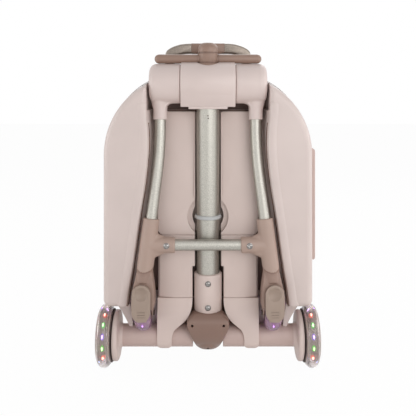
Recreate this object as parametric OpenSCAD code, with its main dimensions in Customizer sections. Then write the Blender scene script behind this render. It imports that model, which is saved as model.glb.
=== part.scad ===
// Ride-on case for a child: a hard shell case with a fold-out frame.
// Millimetres, +Z up, the fold-out frame on the -Y side, the lid on the +Y side.
// The origin is on the ground, midway across the width and the depth.

/* [Case shell] */
// Width of the case at its parting line
case_w = 345; // [335:1:350]
// Depth of the closed case
case_d = 200; // [190:1:216]
// Height of the case at its parting line
case_h = 382; // [376:1:388]
// Height of the underside of the case above the ground
case_lift = 103.5; // [102:0.5:106]
// Distance of the back face of the case behind the origin
back_reach = 86.5; // [84:0.5:89]
// Radius of the two shoulders at the parting line
shoulder_r = 127.5; // [110:0.5:135]
// Radius of the two bottom corners at the parting line
corner_r = 28; // [27:1:40]
// Radius of the rounded edge between the sides and the back or front face
edge_r = 22; // [14:1:23]
// How far each half draws in between its parting line and its face
draft_in = 3.5; // [1:0.5:4]
// Thickness of the moulded shell
shell_t = 3; // [2:0.25:3.5]
// Thickness of the cloth lining
lining_t = 1.2; // [0.8:0.2:1.6]
// Gap between the two halves at the parting line
part_gap = 0.3; // [0.3:0.05:0.6]
// Width of the zip tape on each half
tape_w = 5; // [3:0.5:7]
// How far the zip tape stands out from the shell
tape_out = 1.5; // [1:0.1:1.8]

/* [Back recess] */
// Depth of the recess for the folded frame
recess_deep = 62; // [60:0.5:64]
// Half width of the recess mouth in its straight upper part
recess_top_x = 99; // [98:0.5:103]
// Half width of the recess mouth at the underside of the case
recess_low_x = 130; // [128:0.5:134]
// Height where the recess starts to widen
recess_knee_z = 362; // [340:1:380]
// How far the recess walls draw in towards its floor
recess_draft = 7; // [5:0.5:8]
// Depth of the pocket for the saddle barrel
pocket_deep = 74; // [72:0.5:78]
// Half width of the pocket for the saddle barrel
pocket_x = 100; // [99:0.5:104]
// Height of the pocket's lower edge
pocket_z = 424; // [418:1:430]

/* [Back cover] */
// Half width of the back cover, the blocks and the legs
spine_x = 83; // [80:0.5:85]
// Height of the lower edge of the back cover
cover_z0 = 218; // [216:0.5:226]
// Height of the upper edge of the back cover
cover_z1 = 421; // [410:1:423]
// Depth of the back cover at its upper edge
cover_top_deep = 16; // [12:0.5:17]
// Depth of the back cover at its lower edge
cover_low_deep = 35; // [30:0.5:36]
// Radius of the cover's lower outer corners
cover_r = 10; // [6:0.5:14]
// Half width of the channel for the column
channel_x = 21.5; // [20.5:0.25:22.5]
// Thickness of the cover at the channel's floor
channel_floor = 6; // [4:0.5:7]
// Radius of the finger scoop
scoop_r = 34; // [30:0.5:38]
// Height of the centre of the finger scoop
scoop_z = 248; // [244:0.5:252]
// Depth of the finger scoop in the cover's lower edge
scoop_deep = 14; // [10:0.5:18]
// Clearance round the collar ring in the middle of the scoop
scoop_gap = 4; // [3.5:0.5:6]
// Thickness of the cover at the floor behind the collar ring
scoop_floor = 4; // [3:0.5:5]
// Height of the lips along the channel
lip_out = 1; // [0.6:0.1:1.5]
// Width of the lips along the channel
lip_w = 1.4; // [1:0.1:2]

/* [Blocks and legs] */
// Depth of the lower blocks in front of the recess floor
block_deep = 38; // [36:0.5:40]
// Height of the seam between the blocks and the legs
seam_z = 115; // [112:0.5:120]
// Height where the blocks widen for the foot sleeve
block_step_z = 167; // [162:0.5:172]
// Half width of the gap between the blocks beside the foot sleeve
block_low_x = 25.6; // [25:0.1:27]
// Half width where the outer bevel of the blocks starts
bevel_x = 56; // [50:1:62]
// Depth of the outer bevel of the blocks
bevel_in = 5; // [3:0.5:8]
// Thickness of the leg around the beam
leg_wrap = 3.5; // [2.5:0.25:5]
// Half width of the gap between the lower ends of the legs
leg_low_x = 59; // [56:0.5:62]

/* [Axle and beam] */
// Height of the axle above the ground
axle_z = 50; // [49.5:0.1:50.5]
// Distance of the axle behind the origin
axle_back = 52.5; // [51.5:0.25:53.5]
// Diameter of the axle rod
axle_d = 12; // [10:0.5:13]
// Diameter of the beam tube
beam_d = 36; // [34:0.5:37]
// Half width of the gap between the two beam tubes
beam_gap_x = 25; // [24.8:0.1:27]
// Distance of the hub cover's outer face from the middle
cover_face_x = 155.5; // [155:0.1:156.5]
// Radius of the hub covers
cover_disc_r = 38; // [37:0.5:42]
// Thickness of the disc of the hub covers
cover_disc_t = 14.5; // [11:0.5:15]
// Radius of the fillet between the beam and the hub cover
cover_fillet = 6; // [4:0.5:10]
// Thickness of the fins between the case and the beam
gusset_t = 14; // [8:0.5:18]
// Gap between the webs under the case and the small wheels in front of them
web_gap = 3.5; // [3:0.25:5]

/* [Rear wheels] */
// Diameter of the two rear wheels
wheel_d = 100; // [98:0.5:101]
// Width of the rear tyres
wheel_w = 24; // [20:0.5:25]
// Distance of the inner face of the rear wheels from the middle
wheel_x = 157.5; // [157:0.1:158.5]
// Radius of the wheel's core under the tyre
core_r = 40; // [38:0.5:42]
// Width of the light strip's groove
strip_w = 10; // [8:0.5:12]
// Radius of each light in the strip
lamp_r = 2.4; // [1.8:0.1:2.8]
// Number of lights in a rear wheel
lamp_n = 15; // [8:1:15]

/* [Front feet] */
// Distance of the rails from the middle
rail_x = 79; // [76:0.5:80]
// Width of the rails under the case
rail_w = 15; // [12:0.5:16]
// Height of the rails
rail_h = 15; // [12:0.5:18]
// Clearance between the rails and the lid
rail_gap = 2.5; // [2:0.1:4]
// Thickness of the tie plates between the rails
tie_t = 6; // [4:0.5:8]
// Height of the lower edge of the tie plates
tie_z = 52; // [50:1:60]
// Distance of the front feet in front of the origin
foot_y = 82; // [72:1:92]
// Diameter of the foot posts
post_d = 15; // [12:0.5:15]
// Diameter of the rubber feet
pad_d = 21; // [18:0.5:24]
// Height of the rubber feet
pad_h = 16; // [12:0.5:20]

/* [Column] */
// Outer diameter of the column tube
column_d = 38; // [37:0.25:38.5]
// Bore of the column tube
column_bore = 33; // [32.5:0.25:34]
// Running clearance on the radius of the sliding tube and the hinge pins
run_gap = 0.05; // [0.03:0.01:0.08]
// Height of the lower end of the column tube
column_z0 = 80; // [78:0.5:84]
// Outer diameter of the foot sleeve
sleeve_d = 46; // [44:0.25:46.5]
// Height of the lower edge of the foot sleeve
sleeve_z0 = 92; // [90:0.5:94]
// Height of the upper edge of the foot sleeve
sleeve_z1 = 155; // [150:0.5:160]
// Outer diameter of the collar ring
collar_d = 44; // [43:0.25:45]
// Height of the collar ring
collar_h = 6; // [4:0.5:8]
// Half width of the foot's shield at its widest
foot_x = 34.4; // [32:0.2:34.6]
// How far the foot's shield stands in front of the axle
foot_front = 34; // [31:0.5:36]
// Half width of the foot between the beam tubes
foot_low_x = 24; // [22:0.25:24.5]
// Radius of the foot around the axle
foot_r = 23; // [21:0.25:23.5]
// Height of the widest part of the foot
foot_wide_z = 77; // [74:0.5:80]
// Diameter of the screw heads on the column and the frame
screw_d = 9.5; // [8:0.25:11]

/* [Saddle barrel] */
// Height of the barrel's axis
head_z = 468; // [466:0.5:470]
// Radius of the middle of the barrel
head_r = 36; // [35:0.25:37]
// Half width of the middle of the barrel
head_x = 45; // [43:0.5:46]
// Radius of the yoke ends
yoke_r = 33; // [32:0.25:33.5]
// Half width over both yoke ends
yoke_x = 97; // [95:0.25:97.5]
// Rounding of the yoke ends
yoke_round = 11; // [6:0.5:12]
// Gap between the middle of the barrel and each yoke end
yoke_gap = 0.6; // [0.4:0.1:1]
// Diameter of the stub shafts
stub_d = 16; // [14:0.5:18]
// Distance of the outer end of the stub shafts from the middle
stub_x = 72; // [68:0.5:76]

/* [Swing frame] */
// Lean of the frame away from the column
leg_lean = 6.6; // [6.4:0.1:6.9]
// Diameter of the frame's side tubes
arm_d = 19; // [18:0.25:20]
// Wall of the frame's tubes
arm_t = 1.8; // [1.5:0.1:2.5]
// Distance of the side tubes from the middle at the yoke
arm_x = 79; // [78:0.25:80]
// Diameter of the yoke sockets
socket_d = 23; // [22:0.25:24]
// Distance of the lower end of the sockets below the barrel's axis
socket_down = 60; // [56:0.5:64]
// Distance of the bend in the side tubes below the barrel's axis
bend_down = 76; // [74:0.5:80]
// Angle of the side tubes below the bend
splay = 6.8; // [6.5:0.1:7.1]
// Radius of the bend
bend_r = 600; // [500:10:660]
// Distance of the upper rim of the brackets below the barrel's axis
rim_down = 220; // [216:0.5:224]
// Distance of the lower end of the brackets below the barrel's axis
seam_down = 305; // [300:0.5:308]
// Diameter of the brackets
bracket_d = 27; // [26:0.25:28]
// Distance of the cross tube below the barrel's axis
cross_down = 262; // [260:0.5:264]
// Diameter of the cross tube
cross_d = 18; // [17:0.25:18.5]
// Distance of the inner end of the bracket arms from the middle
bracket_in_x = 53; // [50:0.5:56]

/* [Small wheels and pedals] */
// Diameter of the small wheels
caster_d = 56; // [54:0.5:57]
// Width of the small wheels
caster_w = 26; // [24:0.5:26.5]
// Distance of the small wheels from the middle
caster_x = 105; // [104:0.25:106]
// Distance of the small wheels' axle below the barrel's axis
caster_down = 373; // [371:0.5:374]
// Offset of the small wheels' axle towards the case
caster_in = 24; // [22:0.5:25]
// Width of the forks
fork_w = 34; // [33.5:0.25:34.5]
// Thickness of the fork cheeks
cheek_t = 3.2; // [2.8:0.1:3.4]
// Diameter of the small wheels' axle pins
caster_pin_d = 8; // [6:0.5:9]
// Width of the pedals
pedal_w = 31; // [28:0.5:33]
// Length of the pedals
pedal_l = 58; // [56:0.5:60]
// How far the pedals reach below the small wheels' axle
pedal_low = 5.5; // [4:0.5:8]
// Thickness of the pedals
pedal_t = 6; // [5:0.25:7]
// Thickness of the brake shoes on the pedals
shoe_t = 4.5; // [3:0.25:5]
// Gap between the brake shoes and the small wheels
shoe_gap = 2.8; // [2.6:0.1:3.2]
// Diameter of the pedals' hinge pins
pedal_pin_d = 5; // [4:0.25:6]

/* [Push handle] */
// Height of the handle bar above the barrel's axis
bar_up = 41; // [41:0.25:43]
// Diameter of the handle bar
bar_d = 15.5; // [15:0.25:16]
// Length of the handle bar
bar_l = 178; // [160:1:190]
// Gap between the handle bar and its groove in the barrel
bar_gap = 0.6; // [0.4:0.1:1]
// Diameter of the stem in the middle of the handle
stem_d = 34.5; // [33.5:0.25:35.5]
// Height of the stem's top above the barrel's axis
stem_up = 67; // [66:0.5:72]
// Chamfer of the stem's top
stem_chamfer = 5; // [3:0.5:6]
// Height of the stem's foot above the barrel's axis
stem_foot_up = 28; // [27:0.5:30]
// Wall of the sliding tube
slide_t = 2; // [1.5:0.1:3]
// Length of the sliding tube in the column
slide_l = 310; // [290:5:320]
// Diameter of the release button
button_d = 15; // [12:0.5:17]
// Height of the release button above the stem
button_out = 3; // [2.5:0.25:4]

/* [Handles] */
// Half width of the carry handle
carry_x = 74; // [70:0.5:80]
// Height of the carry handle's top
carry_z = 538; // [530:1:545]
// Thickness of the carry handle
carry_t = 17; // [14:0.5:20]
// Depth of the carry handle
carry_d = 18; // [14:0.5:20]
// Half width of the carry handle's grip
carry_grip_x = 28; // [22:0.5:34]
// Outer radius of the carry handle's corners
carry_r = 22; // [19:0.5:28]
// Distance of the carry handle behind the parting line
carry_back = 17; // [16:0.5:20]
// Height of the lower end of the side handle
side_z0 = 167; // [160:1:175]
// Height of the upper end of the side handle
side_z1 = 359; // [350:1:365]
// How far the side handle stands out
side_out = 12; // [11:0.5:13]
// Thickness of the side handle's grip
side_t = 5.5; // [4:0.25:6]
// Depth of the side handle
side_d = 24; // [20:1:28]
// Length of each end block of the side handle
side_end = 24; // [18:1:34]
// Distance of the side handle behind the parting line
side_back = 30; // [28:1:36]

/* [Hinge and zip] */
// Radius of the lid hinge's knuckles
knuckle_r = 2.9; // [2.5:0.1:3]
// Diameter of the lid hinge's pin
hinge_pin_d = 2.6; // [2:0.1:3]
// Length of one knuckle
knuckle_l = 22; // [16:1:28]
// Reach of the hinge leaves from the pin
leaf_w = 9; // [7:0.5:9]
// Height of the lower hinge
hinge_low_z = 160; // [150:1:180]
// Height of the upper hinge
hinge_high_z = 300; // [270:1:310]
// Height of the zip slider at rest
slider_z = 146; // [140:1:160]

/* [Hidden] */
$fn = 64;
eps = 0.01;

// Colours as on the real object
shell_c = [0.84, 0.80, 0.79];
panel_c = [0.80, 0.74, 0.72];
brown_c = [0.36, 0.25, 0.21];
dark_c = [0.54, 0.44, 0.40];
fork_c = [0.59, 0.51, 0.47];
taupe_c = [0.69, 0.61, 0.56];
metal_c = [0.76, 0.75, 0.71];
tyre_c = [0.72, 0.66, 0.70];
lamp_c = [0.72, 0.45, 0.95];
cloth_c = [0.55, 0.50, 0.52];

back_y = -back_reach;
part_y = back_y + case_d / 2;
half_d = (case_d - part_gap) / 2;
case_mid_z = case_lift + case_h / 2;
case_top_z = case_lift + case_h;
axle_y = -axle_back;
floor_y = back_y + recess_deep;
pocket_floor_y = back_y + pocket_deep;
cover_top_y = floor_y - cover_top_deep;
cover_low_y = floor_y - cover_low_deep;
block_y = floor_y - block_deep;
beam_r = beam_d / 2;
wheel_r = wheel_d / 2;
caster_r = caster_d / 2;
// Centre line of the side tubes below the bend, as x over distance down
splay_dx = bend_r * (1 - cos(splay));
splay_dz = bend_r * sin(splay);
function arm_line_x(down) = arm_x + splay_dx + (down - bend_down - splay_dz) * tan(splay);
// Backmost line of the small wheels with the frame at rest
function caster_back_y() = axle_y + caster_in * cos(leg_lean) - caster_down * sin(leg_lean) + caster_r;
hinge_x = -(case_w / 2 + tape_out + knuckle_r + 0.3);

// Rod along X from x0 to x1
module x_rod(x0, x1, r) {
  translate([x0, 0, 0]) rotate([0, 90, 0]) cylinder(h = x1 - x0, r = r);
}

// Keeps the part for the right side or mirrors it to the left
module on_side(s) {
  if (s > 0) children();
  else mirror([1, 0, 0]) children();
}

// Half section of a shell: reach outwards, deep away from the parting line
module edge_section(reach, deep, r) {
  polygon([[0, 0], [reach, 0], [reach - draft_in, deep - r], [0, deep - r]]);
  square([reach - draft_in - r, deep]);
  translate([reach - draft_in - r, deep - r]) circle(r);
}

// Solid half of the case, drawn in by inset; Z runs away from the parting line
module half_solid(inset, deep) {
  hw = case_w / 2 - inset;
  hh = case_h / 2 - inset;
  rs = shoulder_r - inset;
  rb = corner_r - inset;
  r = edge_r - inset;
  for (m = [0, 1]) mirror([0, m, 0]) translate([-(hw - rs), 0, 0])
    rotate([90, 0, 90]) linear_extrude(height = 2 * (hw - rs)) edge_section(hh, deep, r);
  mirror([0, 1, 0]) translate([-(hw - rb), 0, 0])
    rotate([90, 0, 90]) linear_extrude(height = 2 * (hw - rb)) edge_section(hh, deep, r);
  for (m = [0, 1]) mirror([m, 0, 0]) {
    translate([0, hh - rs, 0]) rotate([90, 0, 0])
      linear_extrude(height = 2 * hh - rs - rb) edge_section(hw, deep, r);
    translate([hw - rs, hh - rs, 0]) rotate_extrude(angle = 90) edge_section(rs, deep, r);
    translate([hw - rb, rb - hh, 0]) rotate([0, 0, -90])
      rotate_extrude(angle = 90) intersection() {
        edge_section(rb, deep, r);
        square([rb, deep]);
      }
  }
}

// Places a half: side 1 is the back half, side -1 the lid
module place_half(side) {
  translate([0, part_y - side * part_gap / 2, case_mid_z])
    mirror([0, side > 0 ? 0 : 1, 0]) rotate([90, 0, 0]) children();
}

// Hollow of a half, open at the parting line by the depth open
module half_hollow(side, inset, open) {
  place_half(side) {
    half_solid(inset, half_d - inset);
    if (open > 0) translate([0, 0, -open]) linear_extrude(height = open) outline(-inset);
  }
}

// Outline of the whole case at its parting line, grown by grow
module outline(grow) {
  hw = case_w / 2 + grow;
  hh = case_h / 2 + grow;
  rs = shoulder_r + grow;
  rb = corner_r + grow;
  translate([-(hw - rs), -hh]) square([2 * (hw - rs), 2 * hh]);
  translate([-hw, rb - hh]) square([2 * hw, 2 * hh - rs - rb]);
  translate([-(hw - rb), -hh]) square([2 * (hw - rb), hh]);
  for (s = [-1, 1]) {
    translate([s * (hw - rs), hh - rs]) circle(rs);
    translate([s * (hw - rb), rb - hh]) circle(rb);
  }
}

// One flat slab of the recess, from height z0 to z1 with half widths x0 and x1
module recess_slab(y, z0, x0, z1, x1) {
  translate([0, y, 0]) rotate([90, 0, 0]) linear_extrude(height = 1)
    polygon([[-x0, z0], [x0, z0], [x1, z1], [-x1, z1]]);
}

// Recess for the folded frame, its walls moved out by grow
module recess(grow) {
  slope = (recess_low_x - recess_top_x) / (recess_knee_z - case_lift);
  z0 = case_lift - 12;
  xl = recess_low_x + 12 * slope + grow;
  xt = recess_top_x + grow;
  za = case_top_z + 12;
  yf = floor_y + grow;
  hull() {
    recess_slab(back_y - 1, z0, xl, recess_knee_z, xt);
    recess_slab(yf, z0, xl - recess_draft, recess_knee_z, xt - recess_draft);
  }
  hull() {
    recess_slab(back_y - 1, recess_knee_z - eps, xt, za, xt);
    recess_slab(yf, recess_knee_z - eps, xt - recess_draft, za, xt - recess_draft);
  }
  translate([-pocket_x - grow, back_y - 2, pocket_z - grow])
    cube([2 * (pocket_x + grow), pocket_deep + grow + 2, case_top_z - pocket_z + 12 + grow]);
}

module back_shell() {
  color(shell_c) difference() {
    place_half(1) half_solid(0, half_d);
    recess(0);
    difference() {
      half_hollow(1, shell_t, 1);
      recess(shell_t);
    }
  }
}

module back_lining() {
  color(cloth_c) difference() {
    half_hollow(1, shell_t, 0);
    recess(shell_t);
    difference() {
      half_hollow(1, shell_t + lining_t, 1);
      recess(shell_t + lining_t);
    }
  }
}

module front_shell() {
  color(shell_c) difference() {
    place_half(-1) half_solid(0, half_d);
    half_hollow(-1, shell_t, 1);
  }
}

module front_lining() {
  color(cloth_c) difference() {
    half_hollow(-1, shell_t, 0);
    half_hollow(-1, shell_t + lining_t, 1);
  }
}

// Raised zip tape round the outline, one half of it
module zip_tape(y0) {
  translate([0, y0 + tape_w, case_mid_z]) rotate([90, 0, 0])
    linear_extrude(height = tape_w) difference() {
      outline(tape_out);
      outline(0);
    }
}

module zip_tape_back() {
  color(brown_c) zip_tape(part_y - part_gap / 2 - tape_w);
}

module zip_tape_front() {
  color(brown_c) zip_tape(part_y + part_gap / 2);
}

// Shallow dish for the fingers with a deeper middle that clears the collar ring
module scoop_cut() {
  translate([0, block_y + scoop_deep, scoop_z]) rotate([90, 0, 0])
    cylinder(h = 2 * recess_deep, r = scoop_r);
  translate([0, floor_y - scoop_floor, scoop_z]) rotate([90, 0, 0])
    cylinder(h = 2 * recess_deep, r = collar_d / 2 + scoop_gap);
}

module back_cover() {
  h = cover_z1 - cover_z0;
  color(panel_c) difference() {
    intersection() {
      union() {
        translate([-spine_x, back_y - 20, cover_z0 + cover_r])
          cube([2 * spine_x, case_d, h - cover_r]);
        translate([cover_r - spine_x, back_y - 20, cover_z0])
          cube([2 * (spine_x - cover_r), case_d, h]);
        for (s = [-1, 1]) translate([s * (spine_x - cover_r), back_y - 20, cover_z0 + cover_r])
          rotate([-90, 0, 0]) cylinder(h = case_d, r = cover_r);
      }
      union() {
        translate([-spine_x - 1, 0, 0]) rotate([90, 0, 90])
          linear_extrude(height = 2 * spine_x + 2)
          polygon([[floor_y, cover_z0], [cover_low_y, cover_z0], [cover_top_y, cover_z1],
            [floor_y, cover_z1]]);
        for (s = [-1, 1])
          translate([s * (channel_x + lip_w / 2) - lip_w / 2, 0, 0]) rotate([90, 0, 90])
          linear_extrude(height = lip_w)
          polygon([[floor_y, cover_z0], [cover_low_y - lip_out, cover_z0],
            [cover_top_y - lip_out, cover_z1], [floor_y, cover_z1]]);
      }
    }
    translate([-channel_x, floor_y - channel_floor - recess_deep, cover_z0 - 1])
      cube([2 * channel_x, recess_deep, h + 2]);
    scoop_cut();
  }
}

// Plan outline of a block or leg from the channel side xin to the outer side
module block_plan(xin, y0) {
  polygon([[xin, floor_y], [xin, y0 + 2], [xin + 2, y0], [bevel_x, y0],
    [spine_x - 3, y0 + bevel_in], [spine_x, y0 + bevel_in + 3], [spine_x, floor_y]]);
}

module block(s) {
  color(panel_c) on_side(s) difference() {
    union() {
      translate([0, 0, block_step_z]) linear_extrude(height = cover_z0 - block_step_z)
        block_plan(channel_x, block_y);
      translate([0, 0, seam_z]) linear_extrude(height = block_step_z - seam_z)
        block_plan(block_low_x, block_y);
    }
    scoop_cut();
    difference() {
      translate([spine_x - cover_r, back_y - 20, cover_z0 - cover_r])
        cube([cover_r + 1, case_d, cover_r + 1]);
      translate([spine_x - cover_r, back_y - 30, cover_z0 - cover_r])
        rotate([-90, 0, 0]) cylinder(h = case_d + 20, r = cover_r);
    }
  }
}

module block_left() { block(-1); }
module block_right() { block(1); }

// Leg that ties the block to the beam: front outline cut by the side outline
module leg(s) {
  yw = axle_y - beam_r - leg_wrap;
  z0 = axle_z - beam_r + 3;
  color(panel_c) on_side(s) difference() {
    intersection() {
      translate([0, floor_y + 1, 0]) rotate([90, 0, 0]) linear_extrude(height = 80) union() {
        polygon([[block_low_x, seam_z], [block_low_x + 1.5, seam_z - 14],
          [block_low_x + 8, seam_z - 29], [block_low_x + 19, seam_z - 40],
          [leg_low_x - 6, seam_z - 46], [leg_low_x - 1, seam_z - 55],
          [leg_low_x, seam_z - 64], [leg_low_x, z0 + 8], [spine_x, z0 + 8], [spine_x, seam_z]]);
        translate([leg_low_x + 8, z0]) square([spine_x - leg_low_x - 16, 10]);
        translate([leg_low_x + 8, z0 + 8]) circle(8);
        translate([spine_x - 8, z0 + 8]) circle(8);
      }
      rotate([90, 0, 90]) linear_extrude(height = spine_x + 1) union() {
        polygon([[floor_y, seam_z], [block_y, seam_z], [yw, seam_z - 34], [yw, axle_z],
          [axle_y + beam_r + leg_wrap, axle_z], [floor_y, seam_z - 34]]);
        translate([axle_y, axle_z]) circle(beam_r + leg_wrap);
      }
    }
    translate([0, axle_y, axle_z]) x_rod(0, spine_x + 2, beam_r);
  }
}

module leg_left() { leg(-1); }
module leg_right() { leg(1); }

module beam(s) {
  color(panel_c) on_side(s) translate([0, axle_y, axle_z]) difference() {
    x_rod(beam_gap_x, cover_face_x - cover_disc_t, beam_r);
    x_rod(beam_gap_x - 1, cover_face_x, axle_d / 2);
  }
}

module beam_left() { beam(-1); }
module beam_right() { beam(1); }

// Hub cover with its concave fillet to the beam, turned about the axle
module hub_cover(s) {
  xd = cover_face_x - cover_disc_t;
  color(panel_c) on_side(s) translate([0, axle_y, axle_z]) rotate([0, 90, 0])
    rotate_extrude() difference() {
      union() {
        difference() {
          translate([beam_r, xd - cover_fillet]) square([cover_fillet, cover_fillet]);
          translate([beam_r + cover_fillet, xd - cover_fillet]) circle(cover_fillet);
        }
        translate([axle_d / 2, xd]) square([cover_disc_r - 5 - axle_d / 2, cover_disc_t]);
        translate([axle_d / 2, xd + 5]) square([cover_disc_r - axle_d / 2, cover_disc_t - 10]);
        translate([cover_disc_r - 5, xd + 5]) circle(5);
        translate([cover_disc_r - 5, xd + cover_disc_t - 5]) circle(5);
      }
    }
}

module hub_cover_left() { hub_cover(-1); }
module hub_cover_right() { hub_cover(1); }

module axle_rod() {
  x1 = wheel_x + wheel_w - 5;
  color(metal_c) translate([0, axle_y, axle_z]) x_rod(-x1, x1, axle_d / 2);
}

// Rail under the case with the post of the front foot and half of the tie plate
module rail(s) {
  zt = case_lift - rail_gap;
  color(dark_c) on_side(s) difference() {
    union() {
      translate([rail_x - rail_w / 2, floor_y, zt - rail_h]) cube([rail_w, foot_y - floor_y, rail_h]);
      translate([rail_x, foot_y, pad_h / 2]) cylinder(h = zt - pad_h / 2, r = post_d / 2);
      translate([0.1, floor_y, tie_z]) cube([rail_x - rail_w / 2 + 1, tie_t, zt - tie_z]);
    }
  }
}

module rail_left() { rail(-1); }
module rail_right() { rail(1); }

module rubber_foot(s) {
  color(brown_c) on_side(s) translate([rail_x, foot_y, 0]) difference() {
    union() {
      cylinder(h = pad_h, r = pad_d / 2 - 2);
      translate([0, 0, 2]) cylinder(h = pad_h - 2, r = pad_d / 2);
      translate([0, 0, 2]) rotate_extrude() translate([pad_d / 2 - 2, 0]) circle(2);
    }
    translate([0, 0, pad_h / 2]) cylinder(h = pad_h, r = post_d / 2);
  }
}

module rubber_foot_left() { rubber_foot(-1); }
module rubber_foot_right() { rubber_foot(1); }

// Fin between the underside of the case and the beam, outside the small wheel,
// and the web behind the wheel that ties the fin to the leg
module gusset(s) {
  xi = caster_x + fork_w / 2 + 2.5;
  zb = axle_z + beam_r - 4;
  zt = case_lift + 14;
  web_y = caster_back_y() + web_gap;
  color(shell_c) on_side(s) difference() {
    union() {
      difference() {
        union() {
          translate([0, axle_y + gusset_t / 2, 0]) rotate([90, 0, 0])
            linear_extrude(height = gusset_t)
            polygon([[xi, zb], [xi + 5, zb], [xi + 6, zb + 7], [xi + 9.5, zb + 15],
              [xi + 14.5, zb + 23], [xi + 20, zb + 31], [xi + 24, zb + 37], [xi + 24, zt],
              [xi + 4, zt], [xi + 3, zb + 35], [xi + 1, zb + 18]]);
          translate([xi, axle_y, zb]) cube([5, web_y + 6 - axle_y, case_lift - 4 - zb]);
        }
        place_half(1) half_solid(0, half_d);
      }
      translate([spine_x, 0, 0]) rotate([90, 0, 90]) linear_extrude(height = xi + 1 - spine_x)
        polygon([[web_y, zb - 6], [floor_y - 4, zb - 6], [floor_y, case_lift - 14],
          [floor_y, case_lift - 0.2], [web_y, case_lift - 0.2]]);
      translate([spine_x, 0, 0]) rotate([90, 0, 90])
        linear_extrude(height = recess_low_x - recess_draft - 2 - spine_x)
        polygon([[web_y, case_lift - 1], [floor_y, case_lift - 1], [floor_y, zt], [floor_y - 5, zt],
          [web_y, zt - 8]]);
    }
    translate([0, axle_y, axle_z]) x_rod(0, wheel_x, beam_r);
  }
}

module gusset_left() { gusset(-1); }
module gusset_right() { gusset(1); }

carry_y = part_y - carry_back;

// Half of the carry handle from x0 outwards, with its corner and its leg
module carry_arm(s) {
  xc = carry_x - carry_r;
  zc = carry_z - carry_r;
  color(taupe_c) on_side(s) difference() {
    translate([0, carry_y, 0]) union() {
      translate([carry_grip_x, -carry_d / 2, carry_z - carry_t])
        cube([xc - carry_grip_x, carry_d, carry_t]);
      translate([xc, carry_d / 2, zc]) rotate([90, 0, 0]) rotate_extrude(angle = 90)
        translate([carry_r - carry_t, 0]) square([carry_t, carry_d]);
      translate([carry_x - carry_t, -carry_d / 2, case_mid_z])
        cube([carry_t, carry_d, zc - case_mid_z]);
    }
    place_half(1) half_solid(0, half_d);
    translate([-case_w, -case_d, 0]) cube([2 * case_w, 2 * case_d, case_mid_z + 60]);
  }
}

module carry_arm_left() { carry_arm(-1); }
module carry_arm_right() { carry_arm(1); }

module carry_grip() {
  r = 5;
  color(dark_c) translate([-carry_grip_x, carry_y, carry_z - carry_t / 2]) rotate([90, 0, 90])
    linear_extrude(height = 2 * carry_grip_x) union() {
      square([carry_d + 2 - 2 * r, carry_t + 1], center = true);
      square([carry_d + 2, carry_t + 1 - 2 * r], center = true);
      for (a = [-1, 1], b = [-1, 1])
        translate([a * (carry_d / 2 + 1 - r), b * (carry_t / 2 + 0.5 - r)]) circle(r);
    }
}

// Strap handle on the right side: two end blocks and a grip between them
module side_handle() {
  y0 = part_y - side_back - side_d / 2;
  xs = case_w / 2 - draft_in - 2;
  xo = case_w / 2 + side_out - draft_in / 2;
  color(taupe_c) difference() {
    union() {
      translate([xs, y0, side_z0 + 4]) cube([xo - xs - 2, side_d, side_end - 4]);
      translate([xs, y0, side_z1 - side_end]) cube([xo - xs - 2, side_d, side_end - 4]);
      translate([xo - side_t, y0, side_z0 + 8]) cube([side_t, side_d, side_z1 - side_z0 - 16]);
      translate([xs, y0, side_z0 + 8]) cube([xo - xs, side_d, side_end - 12]);
      translate([xs, y0, side_z1 - side_end + 4]) cube([xo - xs, side_d, side_end - 12]);
    }
    place_half(1) half_solid(0, half_d);
  }
}

// Knuckles at heights given by k, each with its leaf; side 1 on the case, -1 on the lid
module knuckles(side, k) {
  for (z = [hinge_low_z, hinge_high_z], i = k) translate([hinge_x, part_y, z + i * (knuckle_l + 0.5)]) {
    cylinder(h = knuckle_l, r = knuckle_r);
    translate([0, side > 0 ? -leaf_w : part_gap / 2, 0])
      cube([knuckle_r + 0.3, leaf_w - part_gap / 2, knuckle_l]);
  }
}

module hinge_case() {
  color(brown_c) {
    difference() {
      knuckles(1, [0, 2]);
      for (z = [hinge_low_z, hinge_high_z])
        translate([hinge_x, part_y, z + knuckle_l]) cylinder(h = knuckle_l + 1, r = knuckle_r + 1);
    }
    for (z = [hinge_low_z, hinge_high_z]) translate([hinge_x, part_y, z + 1])
      cylinder(h = 3 * knuckle_l - 1, r = hinge_pin_d / 2);
  }
}

module hinge_lid() {
  color(brown_c) difference() {
    knuckles(-1, [1]);
    for (z = [hinge_low_z, hinge_high_z])
      translate([hinge_x, part_y, z]) cylinder(h = 4 * knuckle_l, r = hinge_pin_d / 2 + run_gap);
  }
}

// Zip slider over the two tapes with its pull
module zip_slider() {
  x0 = case_w / 2 + tape_out + 0.3;
  color(metal_c) union() {
    translate([x0, part_y - 6, slider_z]) cube([3, 12, 16]);
    translate([x0 + 2.2, part_y - 3.5, slider_z - 26]) cube([1.6, 7, 36]);
  }
}

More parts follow.
